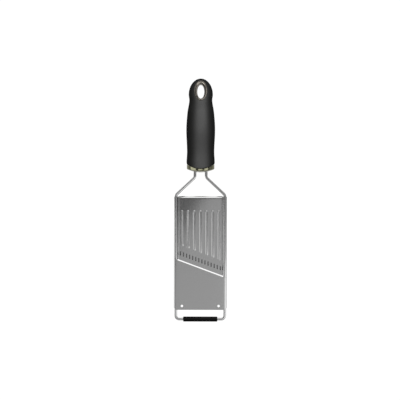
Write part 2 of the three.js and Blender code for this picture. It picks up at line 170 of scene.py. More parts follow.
def attach_tree(shape: bpy.types.Object, tree: bpy.types.NodeTree, values: dict[str, object]) -> None:
    """Put a Geometry Nodes tree on an object.

    Args:
        shape: Object that gets the modifier.
        tree: Tree to run.
        values: Values of the tree's named inputs.
    """
    modifier = shape.modifiers.new(tree.name, "NODES")
    modifier.node_group = tree
    for item in tree.interface.items_tree:
        if item.item_type == "SOCKET" and item.in_out == "INPUT" and item.name in values:
            modifier[item.identifier] = values[item.name]


# Meshes


def tidy(mesh: bpy.types.Mesh, closed: bool = True) -> bpy.types.Mesh:
    """Close the seams and poles of a mesh.

    Args:
        mesh: Mesh to clean.
        closed: Whether it is a closed shell, whose faces are then pointed outwards.

    Returns:
        The same mesh.
    """
    work = bmesh.new()
    work.from_mesh(mesh)
    bmesh.ops.remove_doubles(work, verts=work.verts, dist=MERGE_DISTANCE)
    if closed:
        bmesh.ops.recalc_face_normals(work, faces=work.faces)
    work.to_mesh(mesh)
    work.free()
    return mesh


def skin(rings: Sequence[Sequence[Vector]], looped: bool = False) -> bpy.types.Mesh:
    """Close a surface over rings of equal length.

    Args:
        rings: Closed rings of points that follow each other. A ring of one repeated point makes a pole.
        looped: Whether the last ring joins the first, as round a tunnel. Otherwise both ends are capped.

    Returns:
        A closed mesh.
    """
    count = len(rings[0])
    faces = []
    for i in range(len(rings) if looped else len(rings) - 1):
        low, high = i * count, (i + 1) % len(rings) * count
        for k in range(count):
            n = (k + 1) % count
            faces.append((low + k, low + n, high + n, high + k))
    if not looped:
        end = (len(rings) - 1) * count
        faces += [tuple(range(count)), tuple(range(end, end + count))]
    mesh = bpy.data.meshes.new("skin")
    mesh.from_pydata([point for ring in rings for point in ring], [], faces)
    return tidy(mesh)


def grid(rows: Sequence[Sequence[Vector]]) -> bpy.types.Mesh:
    """Span an open surface over rows of equal length.

    Args:
        rows: Rows that follow each other along +y, each running from +x to -x.

    Returns:
        An open mesh that faces up.
    """
    count = len(rows[0])
    faces = []
    for start in range(0, (len(rows) - 1) * count, count):
        for k in range(start, start + count - 1):
            faces.append((k, k + count, k + count + 1, k + 1))
    mesh = bpy.data.meshes.new("grid")
    mesh.from_pydata([point for row in rows for point in row], [], faces)
    return tidy(mesh, closed=False)


def prism(outline: Sequence[Vector], along: Vector) -> bpy.types.Mesh:
    """Extrude a flat outline along a vector."""
    return skin([outline, [point + along for point in outline]])


def box(low: Vector, high: Vector) -> bpy.types.Mesh:
    """Box between two opposite corners."""
    end = ((low.x, low.z), (high.x, low.z), (high.x, high.z), (low.x, high.z))
    return prism([Vector((x, low.y, z)) for x, z in end], Vector((0, high.y - low.y, 0)))


def turned(mesh: bpy.types.Mesh, degrees: float, centre: Vector) -> bpy.types.Mesh:
    """Turn a mesh in the tool's plane and move it to a centre."""
    mesh.transform(Matrix.Translation(centre) @ Matrix.Rotation(math.radians(degrees), 4, "Z"))
    return mesh


def scratch(mesh: bpy.types.Mesh) -> bpy.types.Object:
    """Put a mesh in the scene as a working object.

    Args:
        mesh: Mesh of the object.

    Returns:
        The working object, which bake removes again.
    """
    shape = bpy.data.objects.new("scratch", mesh)
    bpy.context.scene.collection.objects.link(shape)
    return shape


def carve(shape: bpy.types.Object, cutter: bpy.types.Object) -> None:
    """Add a cut to a working object.

    Args:
        shape: Object that is cut.
        cutter: Object whose space is taken away.
    """
    cut = shape.modifiers.new("cut", "BOOLEAN")
    cut.operation = "DIFFERENCE"
    cut.solver = "EXACT"
    cut.object = cutter


def bake(shape: bpy.types.Object, *tools: bpy.types.Object) -> bpy.types.Mesh:
    """Turn a working object into a plain mesh and clear the bench.

    Args:
        shape: Object with its modifiers.
        tools: Working objects that the modifiers used.

    Returns:
        The finished mesh.
    """
    bpy.context.view_layer.update()
    evaluated = shape.evaluated_get(bpy.context.evaluated_depsgraph_get())
    mesh = bpy.data.meshes.new_from_object(evaluated)
    for used in (shape, *tools):
        bpy.data.objects.remove(used)
    return mesh


def arc(centre: Pair, radius: float, start: float, end: float, steps: int) -> list[Pair]:
    """Points on an arc.

    Args:
        centre: Its two coordinates.
        radius: Radius of the arc.
        start: First angle in degrees.
        end: Last angle in degrees.
        steps: Number of equal steps.

    Returns:
        Pairs of coordinates, both ends included.
    """
    angles = [math.radians(start + (end - start) * i / steps) for i in range(steps + 1)]
    return [(centre[0] + radius * math.cos(a), centre[1] + radius * math.sin(a)) for a in angles]


def spread(start: float, end: float, steps: int) -> list[float]:
    """Evenly spaced values, both ends included."""
    return [start + (end - start) * i / steps for i in range(steps + 1)]


def arch(distance: float, half_span: float, rise: float) -> float:
    """Height of a round arch at a distance from its middle.

    Args:
        distance: Distance from the middle.
        half_span: Half of the arch's span.
        rise: Height of the arch at its half span.

    Returns:
        The height at that distance.
    """
    radius = (half_span**2 + rise**2) / (2 * rise)
    return radius - math.sqrt(max(radius**2 - distance**2, 0.0))


@dataclass(frozen=True)
class ToolPlane:
    """Place of the tool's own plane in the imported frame."""

    pivot: Vector
    tilt: float

    @classmethod
    def of_frame(cls) -> ToolPlane:
        """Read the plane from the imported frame.

        Returns:
            The plane through the middle of the foot, which sits on the cross wire, along the slicing face.
        """
        low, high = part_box("foot_sleeve")
        face = next(m for m in frame["record"]["mounts"] if m["name"] == "slicing_face")
        return cls((low + high) / 2, math.atan2(-face["axis"][1], face["axis"][2]))

    @property
    def level(self) -> Matrix:
        """Millimetres about the cross wire, level with the floor."""
        return Matrix.Translation(self.pivot) @ Matrix.Scale(MM, 4)

    @property
    def matrix(self) -> Matrix:
        """Millimetres in the tool's plane."""
        return self.level @ Matrix.Rotation(self.tilt, 4, "X")


def settle(
    name: str, mesh: bpy.types.Mesh, place: Matrix, finish: bpy.types.Material, slot: Slot, *nodes: str
) -> None:
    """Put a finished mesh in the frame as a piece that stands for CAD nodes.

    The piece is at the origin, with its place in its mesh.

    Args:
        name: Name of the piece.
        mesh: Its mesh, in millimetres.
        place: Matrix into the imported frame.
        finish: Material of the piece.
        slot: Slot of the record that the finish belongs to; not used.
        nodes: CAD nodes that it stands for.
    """
    mesh.name = name
    mesh.transform(place)
    mesh.materials.clear()
    mesh.materials.append(finish)
    mesh.shade_smooth()
    mesh.set_sharp_from_angle(angle=SHARP_EDGE)
    piece = bpy.data.objects.new(name, mesh)
    bpy.context.scene.collection.objects.link(piece)
    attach(piece, BODY)
    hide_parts(*nodes)
    LOG.info("%s: %d faces, for %s", name, len(mesh.polygons), ", ".join(nodes))


# Finishes


@dataclass(frozen=True)
class RolledSteel:
    """Cold-rolled stainless sheet: an even satin grey with a faint grain along the tool."""

    name: str
    colour: str
    dark: str
    roughness: Pair
    grain: float = 1.6
    run: float = 45.0
    detail: float = 3.0

    def build(self) -> bpy.types.Material:
        """Make the material, with its grain drawn coarser than the real one, so that it shows.

        Returns:
            The finished material.
        """
        material, tree, shader = new_material(self.name)
        place = add_node(tree, "ShaderNodeTexCoord").outputs["Object"]
        scale = (1 / (self.grain * MM), 1 / (self.run * MM), 1 / (self.grain * MM))
        stretched = add_node(tree, "ShaderNodeMapping", {"Vector": place, "Scale": scale})
        grain = add_node(
            tree,
            "ShaderNodeTexNoise",
            {"Vector": stretched.outputs[0], "Scale": 1.0, "Detail": self.detail},
        )
        tone = add_node(
            tree,
            "ShaderNodeMix",
            {0: grain.outputs[0], 6: srgb(self.dark), 7: srgb(self.colour)},
            data_type="RGBA",
        )
        low, high = self.roughness
        rough = add_node(
            tree, "ShaderNodeMapRange", {"Value": grain.outputs[0], "To Min": low, "To Max": high}
        )
        tree.links.new(tone.outputs[2], shader.inputs["Base Color"])
        tree.links.new(rough.outputs[0], shader.inputs["Roughness"])
        shader.inputs["Metallic"].default_value = 1.0
        return material


@dataclass(frozen=True)
class DrawnWire:
    """Bright drawn stainless wire: a little duller than the sheet, with a faint unevenness from the die."""

    colour: str = "#c6c6c6"
    roughness: Pair = (0.2, 0.28)
    blotch: float = 3.0

    def build(self) -> bpy.types.Material:
        """Make the material.

        Returns:
            The finished material.
        """
        material, tree, shader = new_material("drawn_stainless_wire")
        place = add_node(tree, "ShaderNodeTexCoord").outputs["Object"]
        patches = add_node(tree, "ShaderNodeTexNoise", {"Vector": place, "Scale": 1 / (self.blotch * MM)})
        low, high = self.roughness
        rough = add_node(
            tree, "ShaderNodeMapRange", {"Value": patches.outputs[0], "To Min": low, "To Max": high}
        )
        tree.links.new(rough.outputs[0], shader.inputs["Roughness"])
        shader.inputs["Base Color"].default_value = srgb(self.colour)
        shader.inputs["Metallic"].default_value = 1.0
        return material


@dataclass(frozen=True)
class MouldedRubber:
    """Moulded elastomer: nearly black, with the fine erosion texture of the mould and a dull gloss."""

    name: str
    colour: str
    worn: str
    roughness: Pair
    ior: float = 1.5
    grit: float = 0.5
    patch: float = 14.0
    detail: float = 2.0
    bump: float = 0.02
    bump_strength: float = 0.35

    def build(self) -> bpy.types.Material:
        """Make the material, with its grit drawn coarser than the real one, so that it shows.

        Returns:
            The finished material.
        """
        material, tree, shader = new_material(self.name)
        place = add_node(tree, "ShaderNodeTexCoord").outputs["Object"]
        grit, patches = (
            add_node(
                tree,
                "ShaderNodeTexNoise",
                {"Vector": place, "Scale": 1 / (size * MM), "Detail": self.detail},
            )
            for size in (self.grit, self.patch)
        )
        tone = add_node(
            tree,
            "ShaderNodeMix",
            {0: patches.outputs[0], 6: srgb(self.colour), 7: srgb(self.worn)},
            data_type="RGBA",
        )
        low, high = self.roughness
        rough = add_node(
            tree, "ShaderNodeMapRange", {"Value": patches.outputs[0], "To Min": low, "To Max": high}
        )
        relief = add_node(
            tree,
            "ShaderNodeBump",
            {"Height": grit.outputs[0], "Strength": self.bump_strength, "Distance": self.bump * MM},
        )
        tree.links.new(tone.outputs[2], shader.inputs["Base Color"])
        tree.links.new(rough.outputs[0], shader.inputs["Roughness"])
        tree.links.new(relief.outputs[0], shader.inputs["Normal"])
        shader.inputs["IOR"].default_value = self.ior
        return material


@dataclass(frozen=True)
class PlatedTrim:
    """Bright nickel plating on a moulding: a warm mirror with faint orange peel."""

    name: str
    colour: str
    roughness: float
    peel: float = 2.5
    bump: float = 0.02
    bump_strength: float = 0.2

    def build(self) -> bpy.types.Material:
        """Make the material.

        Returns:
            The finished material.
        """
        material, tree, shader = new_material(self.name)
        place = add_node(tree, "ShaderNodeTexCoord").outputs["Object"]
        peel = add_node(tree, "ShaderNodeTexNoise", {"Vector": place, "Scale": 1 / (self.peel * MM)})
        relief = add_node(
            tree,
            "ShaderNodeBump",
            {"Height": peel.outputs[0], "Strength": self.bump_strength, "Distance": self.bump * MM},
        )
        tree.links.new(relief.outputs[0], shader.inputs["Normal"])
        shader.inputs["Base Color"].default_value = srgb(self.colour)
        shader.inputs["Metallic"].default_value = 1.0
        shader.inputs["Roughness"].default_value = self.roughness
        return material


# Steel frame and plates


@dataclass
class WireFrame:
    """One bent wire: two ends in the handle, two arms, two rails and the cross wire at the foot."""

    plane: ToolPlane
    diameter: float = 4.0
    rail_spacing: float = 64.4
    tang_spacing: float = 14.8
    shoulder_y: float = 163.6
    neck_y: float = 186.6
    tang_length: float = 46.0
    arm_bend: float = 5.5
    corner_bend: float = 4.5
    sides: int = 32
    bend_steps: int = 16

    @property
    def rail_x(self) -> float:
        """Distance of a rail from the middle."""
        return self.rail_spacing / 2

    def path(self) -> bpy.types.Object:
        """Lay out the wire's centre line.

        Returns:
            Working object of the line, with sharp corners that carry their bend radius.
        """
        half = [
            (self.tang_spacing / 2, self.neck_y + self.tang_length, 0.0),
            (self.tang_spacing / 2, self.neck_y, self.arm_bend),
            (self.rail_x, self.shoulder_y, self.arm_bend),
            (self.rail_x, 0.0, self.corner_bend),
        ]
        corners = [(-x, y, bend) for x, y, bend in half] + half[::-1]
        mesh = bpy.data.meshes.new("path")
        points = [(x, y, 0) for x, y, _ in corners]
        mesh.from_pydata(points, [(i, i + 1) for i in range(len(points) - 1)], [])
        bends = mesh.attributes.new("bend", "FLOAT", "POINT")
        bends.data.foreach_set("value", [bend for _, _, bend in corners])
        return scratch(mesh)

    @staticmethod
    def bending() -> bpy.types.NodeTree:
        """Bend a wire round the corners of a path.

        Returns:
            The Geometry Nodes tree.
        """
        sockets = {
            "Diameter": "NodeSocketFloat",
            "Sides": "NodeSocketInt",
            "Bend steps": "NodeSocketInt",
            "Finish": "NodeSocketMaterial",
        }
        tree, given = start_tree("bent_wire", sockets)
        radius = add_node(
            tree, "ShaderNodeMath", {0: given.outputs["Diameter"], 1: 0.5}, operation="MULTIPLY"
        )
        section = add_node(
            tree,
            "GeometryNodeCurvePrimitiveCircle",
            {"Resolution": given.outputs["Sides"], "Radius": radius.outputs[0]},
        )
        bends = add_node(tree, "GeometryNodeInputNamedAttribute", {"Name": "bend"}, data_type="FLOAT")
        line = add_node(tree, "GeometryNodeMeshToCurve", {"Mesh": given.outputs["Geometry"]})
        bent = add_node(
            tree,
            "GeometryNodeFilletCurve",
            {"Curve": line.outputs[0], "Count": given.outputs["Bend steps"], "Radius": bends.outputs[0]},
            mode="POLY",
        )
        wire = add_node(
            tree,
            "GeometryNodeCurveToMesh",
            {"Curve": bent.outputs[0], "Profile Curve": section.outputs[0], "Fill Caps": True},
        )
        end_tree(tree, wire.outputs[0], given.outputs["Finish"])
        return tree

    def build(self, finish: bpy.types.Material) -> None:
        """Bend the wire and put it in the frame.

        Args:
            finish: Material of the wire.
        """
        path = self.path()
        values = {
            "Diameter": self.diameter,
            "Sides": self.sides,
            "Bend steps": self.bend_steps,
            "Finish": finish,
        }
        attach_tree(path, self.bending(), values)
        settle("bent_wire", tidy(bake(path)), self.plane.matrix, finish, Slot.WIRE, "wire_frame")


def start_row(name: str) -> tuple[bpy.types.NodeTree, bpy.types.Node, bpy.types.NodeSocket]:
    """Start a Geometry Nodes tree that sets equal copies of an object in a row.

    Args:
        name: Name of the tree.

    Returns:
        The tree, its input node and the socket that gives the copies.
    """
    sockets = {
        "Copied": "NodeSocketObject",
        "Count": "NodeSocketInt",
        "First": "NodeSocketVector",
        "Step": "NodeSocketVector",
        "Finish": "NodeSocketMaterial",
    }
    tree, given = start_tree(name, sockets)
    size = given.outputs
    copied = add_node(tree, "GeometryNodeObjectInfo", {"Object": size["Copied"]})
    places = add_node(
        tree,
        "GeometryNodeMeshLine",
        {"Count": size["Count"], "Start Location": size["First"], "Offset": size["Step"]},
    )
    row = add_node(
        tree,
        "GeometryNodeInstanceOnPoints",
        {"Points": places.outputs[0], "Instance": copied.outputs["Geometry"]},
    )
    copies = add_node(tree, "GeometryNodeRealizeInstances", {"Geometry": row.outputs[0]})
    return tree, given, copies.outputs[0]


def pierced_sheet() -> bpy.types.NodeTree:
    """Cut a row of equal openings in a sheet.

    Returns:
        The Geometry Nodes tree.
    """
    tree, given, cutters = start_row("pierced_sheet")
    pierced = add_node(
        tree,
        "GeometryNodeMeshBoolean",
        {"Mesh 1": given.outputs["Geometry"], "Mesh 2": cutters},
        operation="DIFFERENCE",
    )
    end_tree(tree, pierced.outputs[0], given.outputs["Finish"])
    return tree


@dataclass(frozen=True)
class SheetForm:
    """What the two plates share: the hems rolled round the rails and the slanted slot between them."""

    rail_x: float
    sheet: float = 0.5
    hem_inside: float = 2.29
    hem_return: float = 20.0
    slot_y: float = 67.2
    slot_angle: float = 20.3
    slot_width: float = 1.3
    clearance: float = 0.3
    hem_steps: int = 30

    @property
    def hem_outside(self) -> float:
        """Outer radius of a hem, and height of the flat plate's face."""
        return self.hem_inside + self.sheet

    @property
    def slope(self) -> float:
        """Rise of the slot for each millimetre across."""
        return -math.tan(math.radians(self.slot_angle))

    def slot_line(self, x: float) -> float:
        """Middle of the slot at a distance from the tool's middle."""
        return self.slot_y + self.slope * x

    def along_slot(self, distance: float) -> float:
        """Distance along y that gives a distance square to the slot."""
        return distance / math.cos(math.radians(self.slot_angle))

    def hem(self, to_degrees: float) -> list[Pair]:
        """Outside of the right-hand hem, from its free edge under the rail to an angle."""
        return arc((self.rail_x, 0), self.hem_outside, -90 - self.hem_return, to_degrees, self.hem_steps)

    def slot_cutter(self) -> bpy.types.Object:
        """Open the slot between the hems.

        Returns:
            Working object to cut with.
        """
        half = self.along_slot(self.rail_x - self.hem_inside)
        reach = Vector((half, self.slot_width / 2, 4 * self.hem_outside))
        return scratch(turned(box(-reach, reach), -self.slot_angle, Vector((0, self.slot_y, 0))))

    def thicken(self, shape: bpy.types.Object) -> None:
        """Give a formed surface the thickness of the sheet, inwards.

        Args:
            shape: Working object of the surface.
        """
        wall = shape.modifiers.new("wall", "SOLIDIFY")
        wall.thickness = self.sheet
        wall.offset = -1


@dataclass
class RampTray:
    """Upper plate: a recessed ribbed ramp with tooth slits, between hems rolled over the rails."""

    plane: ToolPlane
    form: SheetForm
    top_y: float = 162.0
    lip_radius: float = 2.6
    drop_at_top: float = 3.6
    drop_at_slot: float = 4.6
    fillet: float = 0.9
    hem_end: float = 161.0
    lip_fade: float = 2.4
    lip_bend: float = 0.6
    lip_fall: float = 33.0
    sag_slope: float = 0.05
    sag_from: Pair = (12.0, 150.0)
    sag_towards: Pair = (-0.96, 0.28)
    sag_blend: float = 45.0
    rib_count: int = 7
    rib_pitch: float = 8.1
    rib_width: float = 4.0
    rib_height: float = 0.8
    rib_flank: float = 1.4
    rib_lean: float = 3.0
    rib_top_gap: float = 18.7
    rib_slot_gap: float = 19.4
    rib_margin: float = 0.2
    rib_end: float = 2.6
    slot_zone: Pair = (3.0, 18.0)
    slit_clearance: float = 0.36
    fillet_steps: int = 8
    lip_steps: int = 6
    flank_steps: int = 7
    slot_rows: int = 5
    rib_end_rows: int = 14
    middle_rows: int = 24
    top_rows: int = 8

    @property
    def hem_top(self) -> float:
        """Upper end of the hems, where the lip turns down."""
        return self.top_y - self.lip_radius

    @property
    def tilt(self) -> float:
        """Slope of the floor as an angle."""
        return math.atan2(self.drop_at_slot - self.drop_at_top, self.hem_top - self.form.slot_y)

    @property
    def rib_top(self) -> float:
        """Upper end of the ribs."""
        return self.top_y - self.rib_top_gap

    def sag(self, x: float, y: float) -> float:
        """Depth by which the floor sags towards its upper left corner.

        Args:
            x: Place across the tool.
            y: Place along the tool.

        Returns:
            The depth, which begins softly and then grows evenly.
        """
        past = (x - self.sag_from[0]) * self.sag_towards[0] + (y - self.sag_from[1]) * self.sag_towards[1]
        eased = min(max(past, 0.0), self.sag_blend)
        return self.sag_slope * (eased**2 / (2 * self.sag_blend) + max(past - self.sag_blend, 0.0))

    def lean(self, x: float, y: float) -> float:
        """Depth by which the sag takes the floor below the floor at the nearest rib's axis.

        Args:
            x: Place across the tool.
            y: Place along the tool.

        Returns:
            The depth, which is negative where the floor lies higher than at the axis.
        """
        reach = (self.rib_count - 1) / 2 * self.rib_pitch
        axis = min(max(round(x / self.rib_pitch) * self.rib_pitch, -reach), reach)
        return self.sag(x, y) - self.sag(axis, y)

    def floor_z(self, x: float, y: float) -> float:
        """Height of the floor's upper face."""
        plane = self.form.hem_outside - self.drop_at_slot + math.tan(self.tilt) * (y - self.form.slot_y)
        return plane - self.sag(x, y)

    def floor_places(self) -> list[float]:
        """Places of the points across the flat floor.

        Returns:
            Values of x from +x to -x, close together on the flanks of the ribs.
        """
        half = self.rib_width / 2
        crown = half - self.rib_flank
        profile = [half + self.rib_margin, *spread(half, crown, self.flank_steps), crown / 2]
        profile = [*profile, 0.0, *(-p for p in reversed(profile))]
        middle = (self.rib_count - 1) / 2
        return [(middle - i) * self.rib_pitch + p for i in range(self.rib_count) for p in profile]

    def side(self, floor: float) -> list[Pair]:
        """Outline of the right-hand hem, which turns the other way in a fillet that runs into the floor.

        Args:
            floor: Height of the floor's edge.

        Returns:
            Pairs of x and z from the hem's free edge to the floor.
        """
        rise = floor + self.fillet
        reach = self.form.hem_outside + self.fillet
        turn = math.degrees(math.asin(rise / reach))
        fillet_x = self.form.rail_x - math.sqrt(reach**2 - rise**2)
        fillet = arc((fillet_x, rise), self.fillet, -turn, -90, self.fillet_steps)
        return [*self.form.hem(180 - turn), *fillet[1:]]

    def section(self, y: float) -> list[Pair]:
        """Upper outline of the tray across the tool at one y.

        Args:
            y: Place along the tool.

        Returns:
            Pairs of x and z from the right-hand hem's free edge to the left-hand one's.
        """
        edge = self.form.rail_x - self.form.hem_outside
        left = [(-x, z) for x, z in reversed(self.side(self.floor_z(-edge, y)))]
        flat = [(x, self.floor_z(x, y)) for x in self.floor_places()]
        return [*self.side(self.floor_z(edge, y)), *flat, *left]

    def row_places(self) -> list[Callable[[float], float]]:
        """Rows along the tool: parallel to the slot near it, and level near the top.

        Returns:
            Functions that give a row's y at a place across the tool.
        """
        slot = self.form.slot_line
        first = self.form.along_slot(self.form.clearance / 2)
        last = self.rib_slot_gap + self.rib_end
        low_ends = spread(self.rib_slot_gap - self.rib_margin, last, self.rib_end_rows)
        gaps = [first, *spread(*self.slot_zone, self.slot_rows), *low_ends]
        rows: list[Callable[[float], float]] = [lambda x, gap=gap: slot(x) + gap for gap in gaps]
        start, end = self.rib_top - self.rib_end, self.rib_top + self.rib_margin
        for share in spread(0, 1, self.middle_rows)[1:]:
            rows.append(lambda x, s=share: (1 - s) * (slot(x) + last) + s * start)
        rows += [lambda x, y=y: y for y in spread(start, end, self.rib_end_rows)[1:]]
        for share in spread(0, 1, self.top_rows)[1:]:
            rows.append(lambda x, s=share: (1 - s) * end + s * self.edge_y(x))
        return rows

    def lip_share(self, x: float) -> float:
        """Share of the lip's radius at a place across the tool.

        Args:
            x: Place across the tool.

        Returns:
            The share, from 1 on the floor to 0 at the walls.
        """
        edge = self.form.rail_x - self.form.hem_outside
        share = min(max((edge - abs(x)) / self.lip_fade, 0.0), 1.0)
        return math.sqrt(share * (2 - share))

    def edge_y(self, x: float) -> float:
        """Upper end of the tray's surface before the lip turns down."""
        share = self.lip_share(x)
        return share * self.hem_top + (1 - share) * self.hem_end

    def lip(self, edge: Ring) -> list[Ring]:
        """Rows of the lip, which turns the tray's upper edge down and fades out up the walls.

        Args:
            edge: Last row of the tray.

        Returns:
            Rows that continue the tray.
        """
        bend, fall, turned_to = self.lip_bend, math.radians(self.lip_fall), 90 - self.lip_fall
        first = arc((0, -bend), bend, 90, turned_to, self.lip_steps)
        run = self.lip_radius - first[-1][0] - bend * (1 - math.sin(fall))
        low = first[-1][1] - run * math.tan(fall) - bend * math.cos(fall)
        last = arc((self.lip_radius - bend, low), bend, turned_to, 0, self.lip_steps)
        rows = []
        for out, down in [*first[1:], *last]:
            shares = [self.lip_share(point.x) for point in edge]
            rows.append([point + share * Vector((0, out, down)) for point, share in zip(edge, shares)])
        return rows

    def surface(self) -> bpy.types.Mesh:
        """Form the plain upper surface of the tray, without ribs.

        Returns:
            An open mesh that carries the floor's lean from rib to rib.
        """
        rows = []
        outline = self.section(self.form.slot_y)
        for place in self.row_places():
            row = []
            for k, (x, _) in enumerate(outline):
                y = place(x)
                across, z = self.section(y)[k]
                row.append(Vector((across, y, z)))
            rows.append(row)
        mesh = grid([*rows, *self.lip(rows[-1])])
        lean = mesh.attributes.new("lean", "FLOAT", "POINT")
        lean.data.foreach_set("value", [self.lean(v.co.x, v.co.y) for v in mesh.vertices])
        return mesh

    @staticmethod
    def ribbing() -> bpy.types.NodeTree:
        """Press round-ended ribs up out of a floor, with crowns that lean further than a sagging floor does.

        Returns:
            The Geometry Nodes tree.
        """
        shape = ("Pitch", "Reach", "Half width", "Crown", "Height", "Lean")
        ends = ("Slope", "Low end", "High end")
        sockets = {name: "NodeSocketFloat" for name in shape + ends} | {"Finish": "NodeSocketMaterial"}
        tree, given = start_tree("pressed_ribs", sockets)
        size = given.outputs
        position = add_node(tree, "GeometryNodeInputPosition")
        place = add_node(tree, "ShaderNodeSeparateXYZ", {0: position.outputs[0]})
        x, y = place.outputs[0], place.outputs[1]
        half = add_node(tree, "ShaderNodeMath", {0: size["Pitch"], 1: 0.5}, operation="MULTIPLY")
        minus = add_node(tree, "ShaderNodeMath", {0: size["Pitch"], 1: -0.5}, operation="MULTIPLY")
        off = add_node(
            tree, "ShaderNodeMath", {0: x, 1: half.outputs[0], 2: minus.outputs[0]}, operation="WRAP"
        )
        near = add_node(tree, "ShaderNodeMath", {0: x, 1: off.outputs[0]}, operation="SUBTRACT")
        back = add_node(tree, "ShaderNodeMath", {0: size["Reach"], 1: -1.0}, operation="MULTIPLY")
        rib = add_node(tree, "ShaderNodeClamp", {0: near.outputs[0], 1: back.outputs[0], 2: size["Reach"]})
        across = add_node(tree, "ShaderNodeMath", {0: x, 1: rib.outputs[0]}, operation="SUBTRACT")
        low = add_node(
            tree,
            "ShaderNodeMath",
            {0: rib.outputs[0], 1: size["Slope"], 2: size["Low end"]},
            operation="MULTIPLY_ADD",
        )
        axis = add_node(tree, "ShaderNodeClamp", {0: y, 1: low.outputs[0], 2: size["High end"]})
        along = add_node(tree, "ShaderNodeMath", {0: y, 1: axis.outputs[0]}, operation="SUBTRACT")
        away = add_node(tree, "ShaderNodeCombineXYZ", {0: across.outputs[0], 1: along.outputs[0]})
        distance = add_node(tree, "ShaderNodeVectorMath", {0: away.outputs[0]}, operation="LENGTH")
        lean = add_node(tree, "GeometryNodeInputNamedAttribute", {"Name": "lean"}, data_type="FLOAT")
        crown = add_node(
            tree,
            "ShaderNodeMath",
            {0: lean.outputs[0], 1: size["Lean"], 2: size["Height"]},
            operation="MULTIPLY_ADD",
        )
        rise = add_node(
            tree,
            "ShaderNodeMapRange",
            {
                "Value": distance.outputs["Value"],
                "From Min": size["Half width"],
                "From Max": size["Crown"],
                "To Min": 0.0,
                "To Max": crown.outputs[0],
            },
            interpolation_type="SMOOTHSTEP",
        )
        lift = add_node(tree, "ShaderNodeCombineXYZ", {2: rise.outputs[0]})
        pressed = add_node(
            tree, "GeometryNodeSetPosition", {"Geometry": size["Geometry"], "Offset": lift.outputs[0]}
        )
        end_tree(tree, pressed.outputs[0], size["Finish"])
        return tree

    def build(self, comb: JulienneComb, finish: bpy.types.Material) -> None:
        """Form, rib, slit and cut the tray, and put it in the frame.

        Args:
            comb: Comb whose teeth pass through the slits.
            finish: Material of the tray.
        """
        shape = scratch(self.surface())
        half = self.rib_width / 2
        values = {
            "Pitch": self.rib_pitch,
            "Reach": (self.rib_count - 1) / 2 * self.rib_pitch,
            "Half width": half,
            "Crown": half - self.rib_flank,
            "Height": self.rib_height,
            "Lean": -self.rib_lean,
            "Slope": self.form.slope,
            "Low end": self.form.slot_y + self.rib_slot_gap + half,
            "High end": self.rib_top - half,
            "Finish": finish,
        }
        attach_tree(shape, self.ribbing(), values)
        self.form.thicken(shape)
        slot = self.form.slot_cutter()
        carve(shape, slot)
        slit = comb.slit(self.slit_clearance)
        values = {
            "Copied": slit,
            "Count": comb.count,
            "First": comb.first,
            "Step": comb.step,
            "Finish": finish,
        }
        attach_tree(shape, pierced_sheet(), values)
        mesh = bake(shape, slot, slit)
        settle("ramp_tray", mesh, self.plane.matrix, finish, Slot.PLATE, "ramp_plate")


